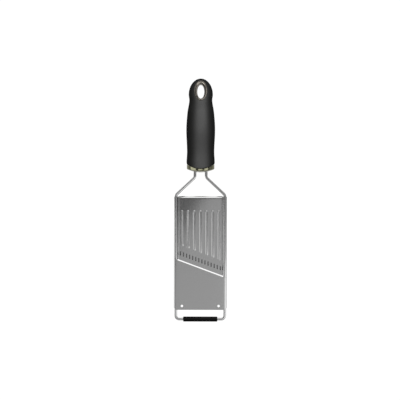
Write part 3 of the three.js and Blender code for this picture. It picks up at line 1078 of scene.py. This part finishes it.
@dataclass
class JulienneComb:
    """Slanted strip under the ramp with a row of upright teeth that reach through its slits."""

    plane: ToolPlane
    form: SheetForm
    floor_z: float
    tilt: float
    count: int = 14
    pitch: float = 4.05
    length: float = 5.1
    thickness: float = 0.6
    height: float = 3.2
    tip: float = 1.2
    heel: float = 0.6
    slot_gap: float = 9.5
    depth: float = 10.0
    strip: float = 0.6

    @property
    def end_x(self) -> float:
        """Half length of the strip."""
        return self.count / 2 * self.pitch

    @property
    def first(self) -> Vector:
        """Place of the first tooth.

        Returns:
            Its middle, on the floor.
        """
        x = -(self.count - 1) / 2 * self.pitch
        y = self.form.slot_line(x) + self.slot_gap
        return Vector((x, y, self.floor_z + math.tan(self.tilt) * (y - self.form.slot_y)))

    @property
    def step(self) -> Vector:
        """Step from tooth to tooth, along the slot."""
        rise = self.form.slope * self.pitch
        return Vector((self.pitch, rise, rise * math.tan(self.tilt)))

    def slit(self, clearance: float) -> bpy.types.Object:
        """Working object that cuts one slit, with a clearance round the tooth."""
        reach = Vector((self.thickness / 2 + clearance, self.length / 2 + clearance / 2, self.height))
        return scratch(box(-reach, reach))

    def tooth(self) -> bpy.types.Object:
        """Make one tooth, upright in front and falling to a low heel.

        Returns:
            Working object of the tooth, about its middle on the floor.
        """
        front = -self.length / 2
        foot = -self.form.sheet - self.form.clearance - self.strip / 2
        side = [
            (front, foot),
            (-front, foot),
            (-front, self.heel),
            (front + self.tip, self.height),
            (front, self.height),
        ]
        outline = [Vector((-self.thickness / 2, y, z)) for y, z in side]
        return scratch(prism(outline, Vector((self.thickness, 0, 0))))

    def rail(self) -> bpy.types.Mesh:
        """Make the strip that carries the teeth.

        Returns:
            A closed mesh under the ramp's floor.
        """
        top = -self.form.sheet - self.form.clearance
        corners = []
        for x, side in ((-self.end_x, -1), (self.end_x, -1), (self.end_x, 1), (-self.end_x, 1)):
            y = self.form.slot_line(x) + self.slot_gap + side * self.depth / 2
            corners.append(Vector((x, y, self.floor_z + math.tan(self.tilt) * (y - self.form.slot_y) + top)))
        return prism(corners, Vector((0, 0, -self.strip)))

    @staticmethod
    def toothing() -> bpy.types.NodeTree:
        """Stand a row of teeth on a strip.

        Returns:
            The Geometry Nodes tree.
        """
        tree, given, teeth = start_row("row_of_teeth")
        comb = add_node(
            tree,
            "GeometryNodeMeshBoolean",
            {"Mesh 2": given.outputs["Geometry"]},
            operation="UNION",
        )
        tree.links.new(teeth, comb.inputs["Mesh 2"])
        end_tree(tree, comb.outputs[0], given.outputs["Finish"])
        return tree

    def build(self, finish: bpy.types.Material) -> None:
        """Make the comb and put it in the frame.

        Args:
            finish: Material of the comb.
        """
        shape, tooth = scratch(self.rail()), self.tooth()
        values = {
            "Copied": tooth,
            "Count": self.count,
            "First": self.first,
            "Step": self.step,
            "Finish": finish,
        }
        attach_tree(shape, self.toothing(), values)
        settle("toothed_comb", bake(shape, tooth), self.plane.matrix, finish, Slot.PLATE, "julienne_comb")


@dataclass
class SlicingPlate:
    """Lower plate: flat, with a sharpened slanted edge, two round holes and hems over the rails."""

    plane: ToolPlane
    form: SheetForm
    end_y: float = 12.3
    hem_setback: float = 2.2
    bevel: float = 2.0
    edge: float = 0.12
    hole_diameter: float = 3.2
    hole_spacing: float = 48.2
    hole_rise: float = 5.1
    hole_sides: int = 48
    cells: int = 16

    def surface(self) -> bpy.types.Mesh:
        """Form the upper surface of the plate with both hems, up to the slot.

        Returns:
            An open mesh.
        """
        side = self.form.hem(90)
        places = spread(self.form.rail_x, -self.form.rail_x, self.cells)[1:-1]
        flat = [(x, self.form.hem_outside) for x in places]
        outline = [*side, *flat, *((-x, z) for x, z in reversed(side))]
        gap = self.form.along_slot(self.form.clearance / 2)
        rows = []
        for share in spread(0, 1, self.cells):
            low = (1 - share) * self.end_y
            rows.append([Vector((x, low + share * (self.form.slot_line(x) - gap), z)) for x, z in outline])
        return grid(rows)

    def bevel_cutter(self) -> bpy.types.Object:
        """Grind the underside of the slanted edge.

        Returns:
            Working object to cut with.
        """
        edge = -self.form.slot_width / 2
        top, low = self.form.hem_outside, self.form.hem_inside
        half = self.form.along_slot(self.form.rail_x - self.form.hem_outside)
        side = [
            (edge + self.form.sheet, top - self.edge),
            (edge, top - self.edge),
            (edge - self.bevel, low),
            (edge - self.bevel, 0.0),
            (edge + self.form.sheet, 0.0),
        ]
        wedge = prism([Vector((-half, y, z)) for y, z in side], Vector((2 * half, 0, 0)))
        return scratch(turned(wedge, -self.form.slot_angle, Vector((0, self.form.slot_y, 0))))

    def hem_cutters(self) -> list[bpy.types.Object]:
        """End the hems a little above the plate's lower edge.

        Returns:
            Working objects to cut with.
        """
        rail, reach = self.form.rail_x, 2 * self.form.rail_x
        end = self.end_y + self.hem_setback
        corners = [
            ((-reach, 0, -reach), (reach, end, 0)),
            ((rail, 0, -reach), (reach, end, reach)),
            ((-reach, 0, -reach), (-rail, end, reach)),
        ]
        return [scratch(box(Vector(low), Vector(high))) for low, high in corners]

    def hole_cutter(self) -> bpy.types.Object:
        """Drill one hole.

        Returns:
            Working object to cut with, about the hole's middle.
        """
        rim = arc((0, 0), self.hole_diameter / 2, 0, 360, self.hole_sides)[:-1]
        outline = [Vector((x, y, -self.form.hem_outside)) for x, y in rim]
        return scratch(prism(outline, Vector((0, 0, 2 * self.form.hem_outside))))

    def build(self, finish: bpy.types.Material) -> None:
        """Form, cut and drill the plate, and put it in the frame.

        Args:
            finish: Material of the plate.
        """
        shape = scratch(self.surface())
        self.form.thicken(shape)
        cutters = [self.form.slot_cutter(), self.bevel_cutter(), *self.hem_cutters()]
        for cutter in cutters:
            carve(shape, cutter)
        drill = self.hole_cutter()
        values = {
            "Copied": drill,
            "Count": 2,
            "First": Vector((-self.hole_spacing / 2, self.end_y + self.hole_rise, self.form.hem_outside)),
            "Step": Vector((self.hole_spacing, 0, 0)),
            "Finish": finish,
        }
        attach_tree(shape, pierced_sheet(), values)
        mesh = bake(shape, drill, *cutters)
        settle("slicing_sheet", mesh, self.plane.matrix, finish, Slot.PLATE, "slicing_plate")


# Handle


@dataclass(frozen=True)
class Station:
    """Section of the grip: its rise above the lip, its width and its thickness."""

    rise: float
    width: float
    thickness: float


@dataclass(frozen=True)
class GripForm:
    """Outer form of the grip: smooth sections up to the bulb, then a half ellipse to the tip."""

    lip_y: float = 197.7
    lip_rise: float = 7.0
    power: float = 2.2
    bulb_end: float = 21.3
    stations: tuple[Station, ...] = (
        Station(8.5, 37.1, 23.6),
        Station(23.0, 35.8, 24.2),
        Station(52.0, 37.9, 27.88),
        Station(74.4, 35.0, 25.4),
        Station(89.8, 30.2, 20.6),
        Station(97.7, 31.8, 19.6),
    )

    @property
    def bulb_y(self) -> float:
        """Widest place of the end bulb."""
        return self.lip_y + self.stations[-1].rise

    def smooth(self, y: float, sizes: Sequence[float]) -> float:
        """Smooth value between the stations.

        Args:
            y: Place along the tool.
            sizes: One size for each station.

        Returns:
            The size at that place. It is level below the first station and arrives level at the last.
        """
        rises = [s.rise for s in self.stations]
        at = min(max(y - self.lip_y, rises[0]), rises[-1])
        i = max(k for k in range(len(rises) - 1) if rises[k] <= at)
        slopes = [0.0] * len(rises)
        for k in range(1, len(rises) - 1):
            slopes[k] = (sizes[k + 1] - sizes[k - 1]) / (rises[k + 1] - rises[k - 1])
        span = rises[i + 1] - rises[i]
        t = (at - rises[i]) / span
        start, end = sizes[i], sizes[i + 1]
        bend = (2 * t**3 - 3 * t**2 + 1) * start + (3 * t**2 - 2 * t**3) * end
        return bend + span * ((t**3 - 2 * t**2 + t) * slopes[i] + (t**3 - t**2) * slopes[i + 1])

    def section(self, y: float) -> Pair:
        """Size of the grip at a place along the tool.

        Args:
            y: Place along the tool.

        Returns:
            Its width and its thickness.
        """
        width = self.smooth(y, [s.width for s in self.stations])
        thickness = self.smooth(y, [s.thickness for s in self.stations])
        past = min(max((y - self.bulb_y) / self.bulb_end, 0.0), 1.0)
        shrink = math.sqrt(1 - past**2)
        return width * shrink, thickness * shrink

    def swell(self, value: float) -> float:
        """Share of the half size that a section point reaches, for a sine or a cosine."""
        return math.copysign(abs(value) ** (2 / self.power), value)

    def height(self, x: float, y: float) -> float:
        """Height of the grip's face above the tool's plane.

        Args:
            x: Place across the tool.
            y: Place along the tool.

        Returns:
            The height, which is 0 at the grip's side.
        """
        width, thickness = self.section(y)
        share = min(abs(x) / (width / 2), 1.0)
        return thickness / 2 * (1 - share**self.power) ** (1 / self.power)

    def lip_at(self, x: float) -> float:
        """Lower edge of the grip, which curves up at the sides."""
        return self.lip_y + arch(x, self.stations[0].width / 2, self.lip_rise)


@dataclass
class Handle:
    """Soft grip over a hard core, with a plated collar at its lip and a plated eyelet in its end."""

    plane: ToolPlane
    wire: WireFrame
    form: GripForm = field(default_factory=GripForm)
    clearance: float = 0.3
    grip_wall: float = 3.5
    lip_round: float = 0.8
    lip_merge: float = 2.6
    collar_y: float = 193.0
    collar_width: float = 36.5
    collar_thickness: float = 22.4
    collar_rise: float = 4.4
    collar_corner: float = 0.9
    collar_barrel: float = 0.06
    collar_wall: float = 3.0
    collar_land: float = 0.3
    core_end_gap: float = 4.0
    eyelet_gap: float = 0.02
    eyelet_width: float = 17.2
    eyelet_length: float = 26.6
    eyelet_rise: float = 5.0
    eyelet_proud: float = 0.4
    eyelet_sunk: float = 0.25
    eyelet_mouth: float = 2.6
    eyelet_crest: float = 0.38
    hole_width: float = 9.2
    hole_length: float = 18.4
    hole_rise: float = 3.7
    points: int = 96
    body_steps: int = 80
    flare_steps: int = 12
    lip_steps: int = 6
    tip_steps: int = 28
    socket_flare_steps: int = 4
    socket_steps: int = 24
    collar_inside_steps: int = 10
    collar_side_steps: int = 8
    collar_corner_steps: int = 8
    collar_dome_steps: int = 14
    eyelet_steps: int = 24

    @property
    def turns(self) -> list[float]:
        """Angles of the points of a section, once round."""
        return [2 * math.pi * i / self.points for i in range(self.points)]

    @property
    def eyelet_y(self) -> float:
        """Middle of the eyelet's outline."""
        return self.form.bulb_y + self.eyelet_rise

    def ring(self, width: float, thickness: float, place: Callable[[float, float], float]) -> Ring:
        """Rounded section of the handle.

        Args:
            width: Full width.
            thickness: Full thickness.
            place: Gives y for a point's x and z.

        Returns:
            Points of the section.
        """
        points = []
        for angle in self.turns:
            x = width / 2 * self.form.swell(math.cos(angle))
            z = thickness / 2 * self.form.swell(math.sin(angle))
            points.append(Vector((x, place(x, z), z)))
        return points

    def flared_rings(self, inset: float, start: float, end: float, steps: int) -> list[Ring]:
        """Rings of the grip from just above its curved lip to a level ring.

        Args:
            inset: Distance inside the outer form.
            start: Distance above the lip.
            end: Place along the tool of the level ring.
            steps: Number of steps.

        Returns:
            The rings, the first one parallel to the lip.
        """
        rings = []
        for share in spread(0, 1, steps):
            points = []
            for angle in self.turns:
                across, up = self.form.swell(math.cos(angle)), self.form.swell(math.sin(angle))
                lip = self.form.lip_at((self.form.stations[0].width / 2 - inset) * across) + start
                y = (1 - share) * lip + share * end
                width, thickness = self.form.section(y)
                points.append(Vector(((width / 2 - inset) * across, y, (thickness / 2 - inset) * up)))
            rings.append(points)
        return rings

    def level_rings(self, inset: float, places: Sequence[float]) -> list[Ring]:
        """Level rings of the grip.

        Args:
            inset: Distance inside the outer form.
            places: Places along the tool.

        Returns:
            One ring for each place.
        """
        rings = []
        for y in places:
            width, thickness = (max(size - 2 * inset, 0.0) for size in self.form.section(y))
            rings.append(self.ring(width, thickness, lambda x, z, y=y: y))
        return rings

    @staticmethod
    def oval(width: float, length: float, y: float, angle: float) -> Vector:
        """Point of an upright oval in the tool's plane."""
        return Vector((width / 2 * math.cos(angle), y + length / 2 * math.sin(angle), 0))

    def grip(self) -> bpy.types.Mesh:
        """Mould the soft grip: a shell that is open at the lip, with a passage for the eyelet.

        Returns:
            A closed mesh.
        """
        inset = self.grip_wall - self.clearance
        merge = self.form.lip_y + self.lip_merge * self.form.lip_rise
        core_end = self.eyelet_y - self.eyelet_length / 2 - self.core_end_gap + self.clearance
        socket = self.flared_rings(inset, 0, merge, self.socket_flare_steps)
        socket += self.level_rings(inset, spread(merge, core_end, self.socket_steps)[1:])
        edge = []
        first = self.form.stations[0]
        for degrees in spread(0, 90, self.lip_steps):
            angle = math.radians(degrees)
            back = self.lip_round * (1 - math.sin(angle))
            rise = self.lip_round * (1 - math.cos(angle))
            width, thickness = first.width - 2 * back, first.thickness - 2 * back
            edge.append(self.ring(width, thickness, lambda x, z, rise=rise: self.form.lip_at(x) + rise))
        side = self.flared_rings(0, self.lip_round, merge, self.flare_steps)[1:]
        body = spread(merge, self.form.bulb_y, self.body_steps)[1:]
        for degrees in spread(0, 90, self.tip_steps)[1:]:
            body.append(self.form.bulb_y + self.form.bulb_end * math.sin(math.radians(degrees)))
        shape = scratch(skin([*reversed(socket), *edge, *side, *self.level_rings(0, body)]))
        width, length = (size + 2 * self.eyelet_gap for size in (self.eyelet_width, self.eyelet_length))
        rim = [self.oval(width, length, self.eyelet_y, angle) for angle in self.turns]
        reach = Vector((0, 0, first.thickness))
        passage = scratch(prism([point - reach for point in rim], 2 * reach))
        carve(shape, passage)
        return bake(shape, passage)

    def dome(self, x: float, z: float) -> float:
        """Lower face of the collar."""
        return self.collar_y + arch(math.hypot(x, z), self.collar_width / 2, self.collar_rise)

    def under_lip(self, x: float, _: float) -> float:
        """Upper edge of the collar, just under the grip's lip."""
        return self.form.lip_at(x) - self.clearance

    def above_dome(self, x: float, z: float, rise: float) -> float:
        """Place a rise above the collar's lower face, and always a little under its upper edge."""
        return min(self.dome(x, z) + rise, self.under_lip(x, z) - self.collar_land)

    def collar_side(self, x: float, z: float, share: float) -> float:
        """Place on the collar's side, at a share of the way down to its rounded corner."""
        return (1 - share) * self.under_lip(x, z) + share * self.above_dome(x, z, self.collar_corner)

    def collar_rings(self) -> list[Ring]:
        """Rings of the collar.

        Returns:
            The rings, from the middle of its hollow over its upper edge to the middle of its dome.
        """
        inset = 2 * (self.grip_wall - self.clearance)
        width, thickness = self.collar_width - inset, self.collar_thickness - inset
        wall = self.collar_wall - self.clearance
        rings = []
        for share in spread(0, 1, self.collar_inside_steps):
            rings.append(self.ring(width * share, thickness * share, lambda x, z: self.dome(x, z) + wall))
        rings.append(self.ring(width, thickness, self.under_lip))
        width, thickness, corner = self.collar_width, self.collar_thickness, self.collar_corner
        for share in spread(0, 1, self.collar_side_steps):
            back = 2 * self.collar_barrel * (1 - share) ** 2
            rings.append(self.ring(width - back, thickness - back, partial(self.collar_side, share=share)))
        for degrees in spread(0, 90, self.collar_corner_steps)[1:]:
            angle = math.radians(degrees)
            back = 2 * corner * (1 - math.cos(angle))
            place = partial(self.above_dome, rise=corner * (1 - math.sin(angle)))
            rings.append(self.ring(width - back, thickness - back, place))
        width, thickness = width - 2 * corner, thickness - 2 * corner
        for share in spread(1, 0, self.collar_dome_steps)[1:]:
            rings.append(self.ring(width * share, thickness * share, self.dome))
        return rings

    def collar(self) -> bpy.types.Mesh:
        """Make the domed cap under the grip's lip, hollow for the core and bored for the two wire ends.

        Returns:
            A closed mesh.
        """
        shape = scratch(skin(self.collar_rings()))
        bores = []
        radius = self.wire.diameter / 2 + self.clearance
        for side in (-1, 1):
            rim = arc((side * self.wire.tang_spacing / 2, 0), radius, 0, 360, self.wire.sides)[:-1]
            outline = [Vector((x, self.wire.neck_y, z)) for x, z in rim]
            bores.append(scratch(prism(outline, Vector((0, self.wire.tang_length, 0)))))
            carve(shape, bores[-1])
        return bake(shape, *bores)

    def eyelet(self) -> bpy.types.Mesh:
        """Make the oval liner of the hanging hole: a crowned ring on both faces with a rounded mouth.

        Returns:
            A closed mesh.
        """
        rings = []
        hole_y = self.form.bulb_y + self.hole_rise
        for angle in self.turns:
            outer = self.oval(self.eyelet_width, self.eyelet_length, self.eyelet_y, angle)
            inner = self.oval(self.hole_width, self.hole_length, hole_y, angle)
            face = []
            for share in spread(0, 1, self.eyelet_steps):
                point = outer.lerp(inner, share)
                before = max(0.0, 1 - share / self.eyelet_crest)
                past = max(0.0, (share - self.eyelet_crest) / (1 - self.eyelet_crest))
                fall = (self.eyelet_proud + self.eyelet_sunk) * before**2
                fall += self.eyelet_mouth * (1 - math.sqrt(1 - past**2))
                face.append((point, self.form.height(point.x, point.y) + self.eyelet_proud - fall))
            front = [Vector((p.x, p.y, z)) for p, z in face]
            back = [Vector((p.x, p.y, -z)) for p, z in reversed(face)]
            rings.append(front + back)
        return skin(rings, looped=True)

    def build(self, grip: bpy.types.Material, trim: bpy.types.Material, ring: bpy.types.Material) -> None:
        """Make the handle's pieces and put them in the frame.

        Args:
            grip: Material of the soft grip.
            trim: Material of the collar.
            ring: Material of the eyelet.
        """
        place = self.plane.matrix
        settle("soft_grip", self.grip(), place, grip, Slot.GRIP, "handle_grip")
        settle("plated_collar", self.collar(), place, trim, Slot.TRIM, "handle_collar")
        settle("plated_eyelet", self.eyelet(), place, ring, Slot.TRIM, "hang_eyelet")

    @staticmethod
    def dress_core(finish: bpy.types.Material) -> None:
        """Give the hidden core, which stays as the CAD node, its finish.

        Args:
            finish: Material of the core.
        """
        core = frame["nodes"]["handle_core"]
        core.data.materials.clear()
        core.data.materials.append(finish)


@dataclass
class FootSleeve:
    """Rubber sleeve on the cross wire: a rounded bar with a bore, level with the floor."""

    plane: ToolPlane
    length: float = 45.0
    depth: float = 6.5
    height: float = 8.0
    edge_round: float = 2.9
    least_round: float = 0.3
    end_round: float = 0.8
    bore: float = 4.6
    corner_steps: int = 12
    end_steps: int = 8

    def outline(self, x: float, inset: float) -> Ring:
        """Rounded rectangle across the sleeve.

        Args:
            x: Place along the sleeve.
            inset: Distance inside the full outline.

        Returns:
            Points of the outline.
        """
        half_depth, half_height = self.depth / 2 - inset, self.height / 2 - inset
        radius = max(self.edge_round - inset, self.least_round)
        points = []
        for turn, (y, z) in enumerate(((1, 1), (-1, 1), (-1, -1), (1, -1))):
            centre = (y * (half_depth - radius), z * (half_height - radius))
            points += arc(centre, radius, 90 * turn, 90 * turn + 90, self.corner_steps)
        return [Vector((x, y, z)) for y, z in points]

    def rim(self, x: float) -> Ring:
        """Rim of the bore.

        Args:
            x: Place along the sleeve.

        Returns:
            As many points as the outline has.
        """
        points = []
        for turn in range(4):
            points += arc((0, 0), self.bore / 2, 90 * turn, 90 * turn + 90, self.corner_steps)
        return [Vector((x, y, z)) for y, z in points]

    def build(self, finish: bpy.types.Material) -> None:
        """Make the sleeve and put it in the frame.

        Args:
            finish: Material of the sleeve.
        """
        half = self.length / 2
        ends = []
        for degrees in spread(0, 90, self.end_steps):
            angle = math.radians(degrees)
            inset = self.end_round * (1 - math.sin(angle))
            ends.append((half - self.end_round * (1 - math.cos(angle)), inset))
        rings = [self.outline(x, inset) for x, inset in ends]
        rings += [self.outline(-x, inset) for x, inset in reversed(ends)]
        rings += [self.rim(-half), self.rim(half)]
        settle("rubber_foot", skin(rings, looped=True), self.plane.level, finish, Slot.FOOT, "foot_sleeve")


# Studio

# Pieces that a light is kept to or kept off
STEEL = ("bent_wire", "ramp_tray", "toothed_comb", "slicing_sheet")
GRIP = ("soft_grip",)
FOOT = ("rubber_foot",)
COLLAR = ("plated_collar",)
EYELET = ("plated_eyelet",)


def link_light(source: bpy.types.Object, pieces: Sequence[str], state: str) -> None:
    """Link a light to some pieces.

    Args:
        source: Lamp, or object that glows.
        pieces: Names of the pieces.
        state: INCLUDE to light these alone, EXCLUDE to light all but these.
    """
    linked = bpy.data.collections.new(f"linked_to_{source.name}")
    for name in pieces:
        linked.objects.link(bpy.data.objects[name])
    for member in linked.collection_objects:
        member.light_linking.link_state = state
    source.light_linking.receiver_collection = linked


@dataclass(frozen=True)
class Softbox:
    """Rectangular soft light that lights every piece, only some, or all but those that it spares.

    Its middle and its aim count from the tool's middle. A level of 1 is white.
    """

    name: str
    middle: tuple[float, float, float]
    size: Pair
    level: float
    aim: tuple[float, float, float] = (0.0, 0.0, 0.0)
    turn: float = 0.0
    only: tuple[str, ...] = ()
    spares: tuple[str, ...] = ()

    def build(self, place: Matrix) -> None:
        """Hang the light so that it faces its aim.

        Args:
            place: Matrix of the tool's middle, in metres.
        """
        data = bpy.data.lights.new(self.name, "AREA")
        data.shape = "RECTANGLE"
        data.size, data.size_y = (side * MM for side in self.size)
        data.energy = self.level * math.pi * data.size * data.size_y
        lamp = bpy.data.objects.new(self.name, data)
        bpy.context.scene.collection.objects.link(lamp)
        middle = Vector(self.middle)
        facing = (Vector(self.aim) - middle).to_track_quat("-Z", "Y").to_matrix().to_4x4()
        turn = Matrix.Rotation(math.radians(self.turn), 4, "Z")
        lamp.matrix_world = place @ Matrix.Translation(middle * MM) @ facing @ turn
        if self.only:
            link_light(lamp, self.only, "INCLUDE")
        elif self.spares:
            link_light(lamp, self.spares, "EXCLUDE")


@dataclass
class Studio:
    """White floor, dim tent, soft lights and the camera square to the plate."""

    plane: ToolPlane
    lights: tuple[Softbox, ...] = (
        Softbox("over_plate", (453, -604, 2300), (1530, 2400), 0.405, (453, -604, 0), -53.1, spares=FOOT),
        Softbox("over_left", (-800, -790, 2300), (1200, 1220), 0.405, (-800, -790, 0), spares=FOOT),
        Softbox("beside_left", (-929, -307, 311), (585, 580), 1.0, (0, -307, 0), only=STEEL),
        Softbox("beside_right", (598, -365, 558), (490, 1325), 1.1, (0, -365, 0), only=STEEL),
        Softbox("fill_right", (598, -80, 558), (80, 1325), 0.2, (0, -80, 0), only=STEEL),
        Softbox("over_ribs", (-620, -125, 2300), (440, 250), 1.1, (-620, -125, 0), only=("ramp_tray",)),
        Softbox("behind", (0, 1500, 500), (2000, 1000), 1.1, only=STEEL),
        Softbox("behind_left", (-900, 520, 420), (800, 560), 0.5, only=STEEL),
        Softbox("behind_right", (900, 520, 420), (800, 560), 0.5, only=STEEL),
        Softbox("over_foot", (0, 600, 1000), (1600, 900), 1.8, (0, -157, 0), only=FOOT),
        Softbox("key_left", (-450, 725, 2300), (700, 1550), 8.0, (-450, 725, 0), only=GRIP),
        Softbox("key_right", (700, 725, 2300), (1000, 1550), 8.0, (700, 725, 0), only=GRIP),
        Softbox("collar_top", (-53, -450, 2300), (540, 2100), 2.5, (-53, -450, 0), only=COLLAR),
        Softbox("collar_left", (-578, -260, 689), (1200, 627), 2.5, (0, -260, 0), only=COLLAR),
        Softbox("collar_right", (408, -260, 802), (1200, 350), 2.2, (0, -260, 0), only=COLLAR),
        Softbox("low_left", (-900, 0, 350), (1600, 900), 0.5, (0, 0, 350), only=COLLAR + EYELET),
        Softbox("low_right", (900, 0, 350), (1600, 900), 0.5, (0, 0, 350), only=COLLAR),
        Softbox("eyelet_right", (700, 143, 600), (1000, 1000), 1.3, (0, 143, 0), only=EYELET),
        Softbox("back_left", (-190, 900, 600), (240, 420), 4.5, (0, 143, 0), only=EYELET),
        Softbox("back_right", (190, 900, 600), (240, 420), 4.5, (0, 143, 0), only=EYELET),
    )
    sky: float = 0.13
    end_walls: float = 0.5
    end_wall_blend: Pair = (0.25, 0.75)
    view_width: float = 526.8
    aim: Pair = (-0.7, 156.8)
    roll: float = 0.15
    lens: float = 120.0
    sensor: float = 36.0
    clip_end: float = 100.0
    floor_size: float = 30.0
    floor_paint: str = "#dcdcdc"
    floor_glow: float = 0.97
    floor_tint: str = "#898989"
    white: str = "#ffffff"

    @property
    def tool_place(self) -> Matrix:
        """Metres in the tool's plane."""
        return Matrix.Translation(self.plane.pivot) @ Matrix.Rotation(self.plane.tilt, 4, "X")

    def floor(self) -> None:
        """Lay the floor, which is white to the camera and in mirrors and keeps a faint shadow.

        Its glow is kept off the grip and the foot, whose edges would mirror it.
        """
        half = self.floor_size / 2
        corners = [(-half, -half, 0), (half, -half, 0), (half, half, 0), (-half, half, 0)]
        mesh = bpy.data.meshes.new("floor")
        mesh.from_pydata(corners, [], [(0, 1, 2, 3)])
        material = bpy.data.materials.new("white_floor")
        material.use_nodes = True
        tree = material.node_tree
        tree.nodes.clear()
        rays = add_node(tree, "ShaderNodeLightPath")
        paint = add_node(tree, "ShaderNodeBsdfDiffuse", {"Color": srgb(self.floor_paint)})
        glow = add_node(tree, "ShaderNodeEmission", {"Color": srgb(self.white), "Strength": self.floor_glow})
        tint = add_node(tree, "ShaderNodeBsdfDiffuse", {"Color": srgb(self.floor_tint)})
        bright = add_node(tree, "ShaderNodeAddShader", {0: glow.outputs[0], 1: tint.outputs[0]})
        mirrored = add_node(
            tree,
            "ShaderNodeMath",
            {0: rays.outputs["Is Glossy Ray"], 1: rays.outputs["Is Transmission Ray"]},
            operation="MAXIMUM",
        )
        seen = add_node(
            tree,
            "ShaderNodeMath",
            {0: rays.outputs["Is Camera Ray"], 1: mirrored.outputs[0]},
            operation="MAXIMUM",
        )
        mixed = add_node(
            tree, "ShaderNodeMixShader", {0: seen.outputs[0], 1: paint.outputs[0], 2: bright.outputs[0]}
        )
        add_node(tree, "ShaderNodeOutputMaterial", {"Surface": mixed.outputs[0]})
        mesh.materials.append(material)
        floor = bpy.data.objects.new("floor", mesh)
        bpy.context.scene.collection.objects.link(floor)
        link_light(floor, GRIP + FOOT, "EXCLUDE")

    def tent(self) -> None:
        """Set the dim tent, with lighter walls at both ends of the tool, which the camera sees as white."""
        world = bpy.data.worlds.new("tent")
        bpy.context.scene.world = world
        world.use_nodes = True
        tree = world.node_tree
        tree.nodes.clear()
        direction = add_node(tree, "ShaderNodeTexCoord").outputs["Generated"]
        facing = add_node(tree, "ShaderNodeSeparateXYZ", {0: direction})
        along = add_node(tree, "ShaderNodeMath", {0: facing.outputs[1]}, operation="ABSOLUTE")
        start, end = self.end_wall_blend
        level = add_node(
            tree,
            "ShaderNodeMapRange",
            {
                "Value": along.outputs[0],
                "From Min": start,
                "From Max": end,
                "To Min": self.sky,
                "To Max": self.end_walls,
            },
            interpolation_type="SMOOTHSTEP",
        )
        white = srgb(self.white)
        walls = add_node(tree, "ShaderNodeBackground", {"Color": white, "Strength": level.outputs[0]})
        backdrop = add_node(tree, "ShaderNodeBackground", {"Color": white, "Strength": 1.0})
        rays = add_node(tree, "ShaderNodeLightPath")
        mixed = add_node(
            tree,
            "ShaderNodeMixShader",
            {0: rays.outputs["Is Camera Ray"], 1: walls.outputs[0], 2: backdrop.outputs[0]},
        )
        add_node(tree, "ShaderNodeOutputWorld", {"Surface": mixed.outputs[0]})

    def camera(self) -> None:
        """Hang the camera square over the plate, with a long lens."""
        data = bpy.data.cameras.new("camera")
        data.lens = self.lens
        data.sensor_width = self.sensor
        data.clip_end = self.clip_end
        camera = bpy.data.objects.new("camera", data)
        bpy.context.scene.collection.objects.link(camera)
        distance = self.view_width * self.lens / self.sensor
        x, y = self.aim
        away = Matrix.Translation(Vector((x, y, distance)) * MM)
        camera.matrix_world = self.tool_place @ away @ Matrix.Rotation(math.radians(self.roll), 4, "Z")
        bpy.context.scene.camera = camera

    def build(self) -> None:
        """Set up the studio."""
        self.floor()
        self.tent()
        middle = self.tool_place @ Matrix.Translation(Vector((0, self.aim[1], 0)) * MM)
        for light in self.lights:
            light.build(middle)
        self.camera()
        bpy.context.scene.view_settings.view_transform = "Standard"


def main() -> None:
    """Build the slicer's pieces and the studio, and log each piece's face count."""
    logging.basicConfig(level=logging.INFO, format="%(name)s %(message)s")
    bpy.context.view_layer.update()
    plane = ToolPlane.of_frame()
    # Smooth satin sheet that mirrors the panels as even greys
    sheet = RolledSteel("rolled_stainless_sheet", "#c3c3c3", "#bfbfbf", (0.12, 0.15)).build()
    # Steel painted much darker than the sheet as painted shade, and duller, so that the teeth and their
    # slits read dark against the ramp
    comb_steel_painted_dark = RolledSteel("hardened_comb_steel", "#5c5c5c", "#565656", (0.3, 0.36)).build()
    wire = WireFrame(plane)
    # Bright drawn wire that shows the panels as soft lines along it
    wire.build(DrawnWire().build())
    form = SheetForm(wire.rail_x)
    tray = RampTray(plane, form)
    comb = JulienneComb(plane, form, tray.floor_z(0, form.slot_y), tray.tilt)
    tray.build(comb, sheet)
    comb.build(comb_steel_painted_dark)
    SlicingPlate(plane, form).build(sheet)
    # Soft-touch skin: nearly black, with one broad dull highlight
    grip = MouldedRubber("soft_touch_grip", "#0c0c0b", "#10100f", (0.46, 0.52), 1.45).build()
    # Bright plating: clear patches of light on the collar, softer ones on the eyelet
    collar = PlatedTrim("plated_collar", "#6b6a58", 0.12).build()
    eyelet = PlatedTrim("plated_eyelet", "#78736c", 0.2).build()
    handle = Handle(plane, wire)
    handle.build(grip, collar, eyelet)
    # Hard moulded core, a plain dark grey
    core = MouldedRubber("moulded_core", "#3a3a38", "#40403e", (0.45, 0.5)).build()
    handle.dress_core(core)
    # Matt black rubber with hardly any gloss
    foot = MouldedRubber("moulded_foot_rubber", "#060606", "#0a0a0a", (0.55, 0.62), 1.25).build()
    FootSleeve(plane).build(foot)
    Studio(plane).build()


if __name__ == "__main__":
    main()
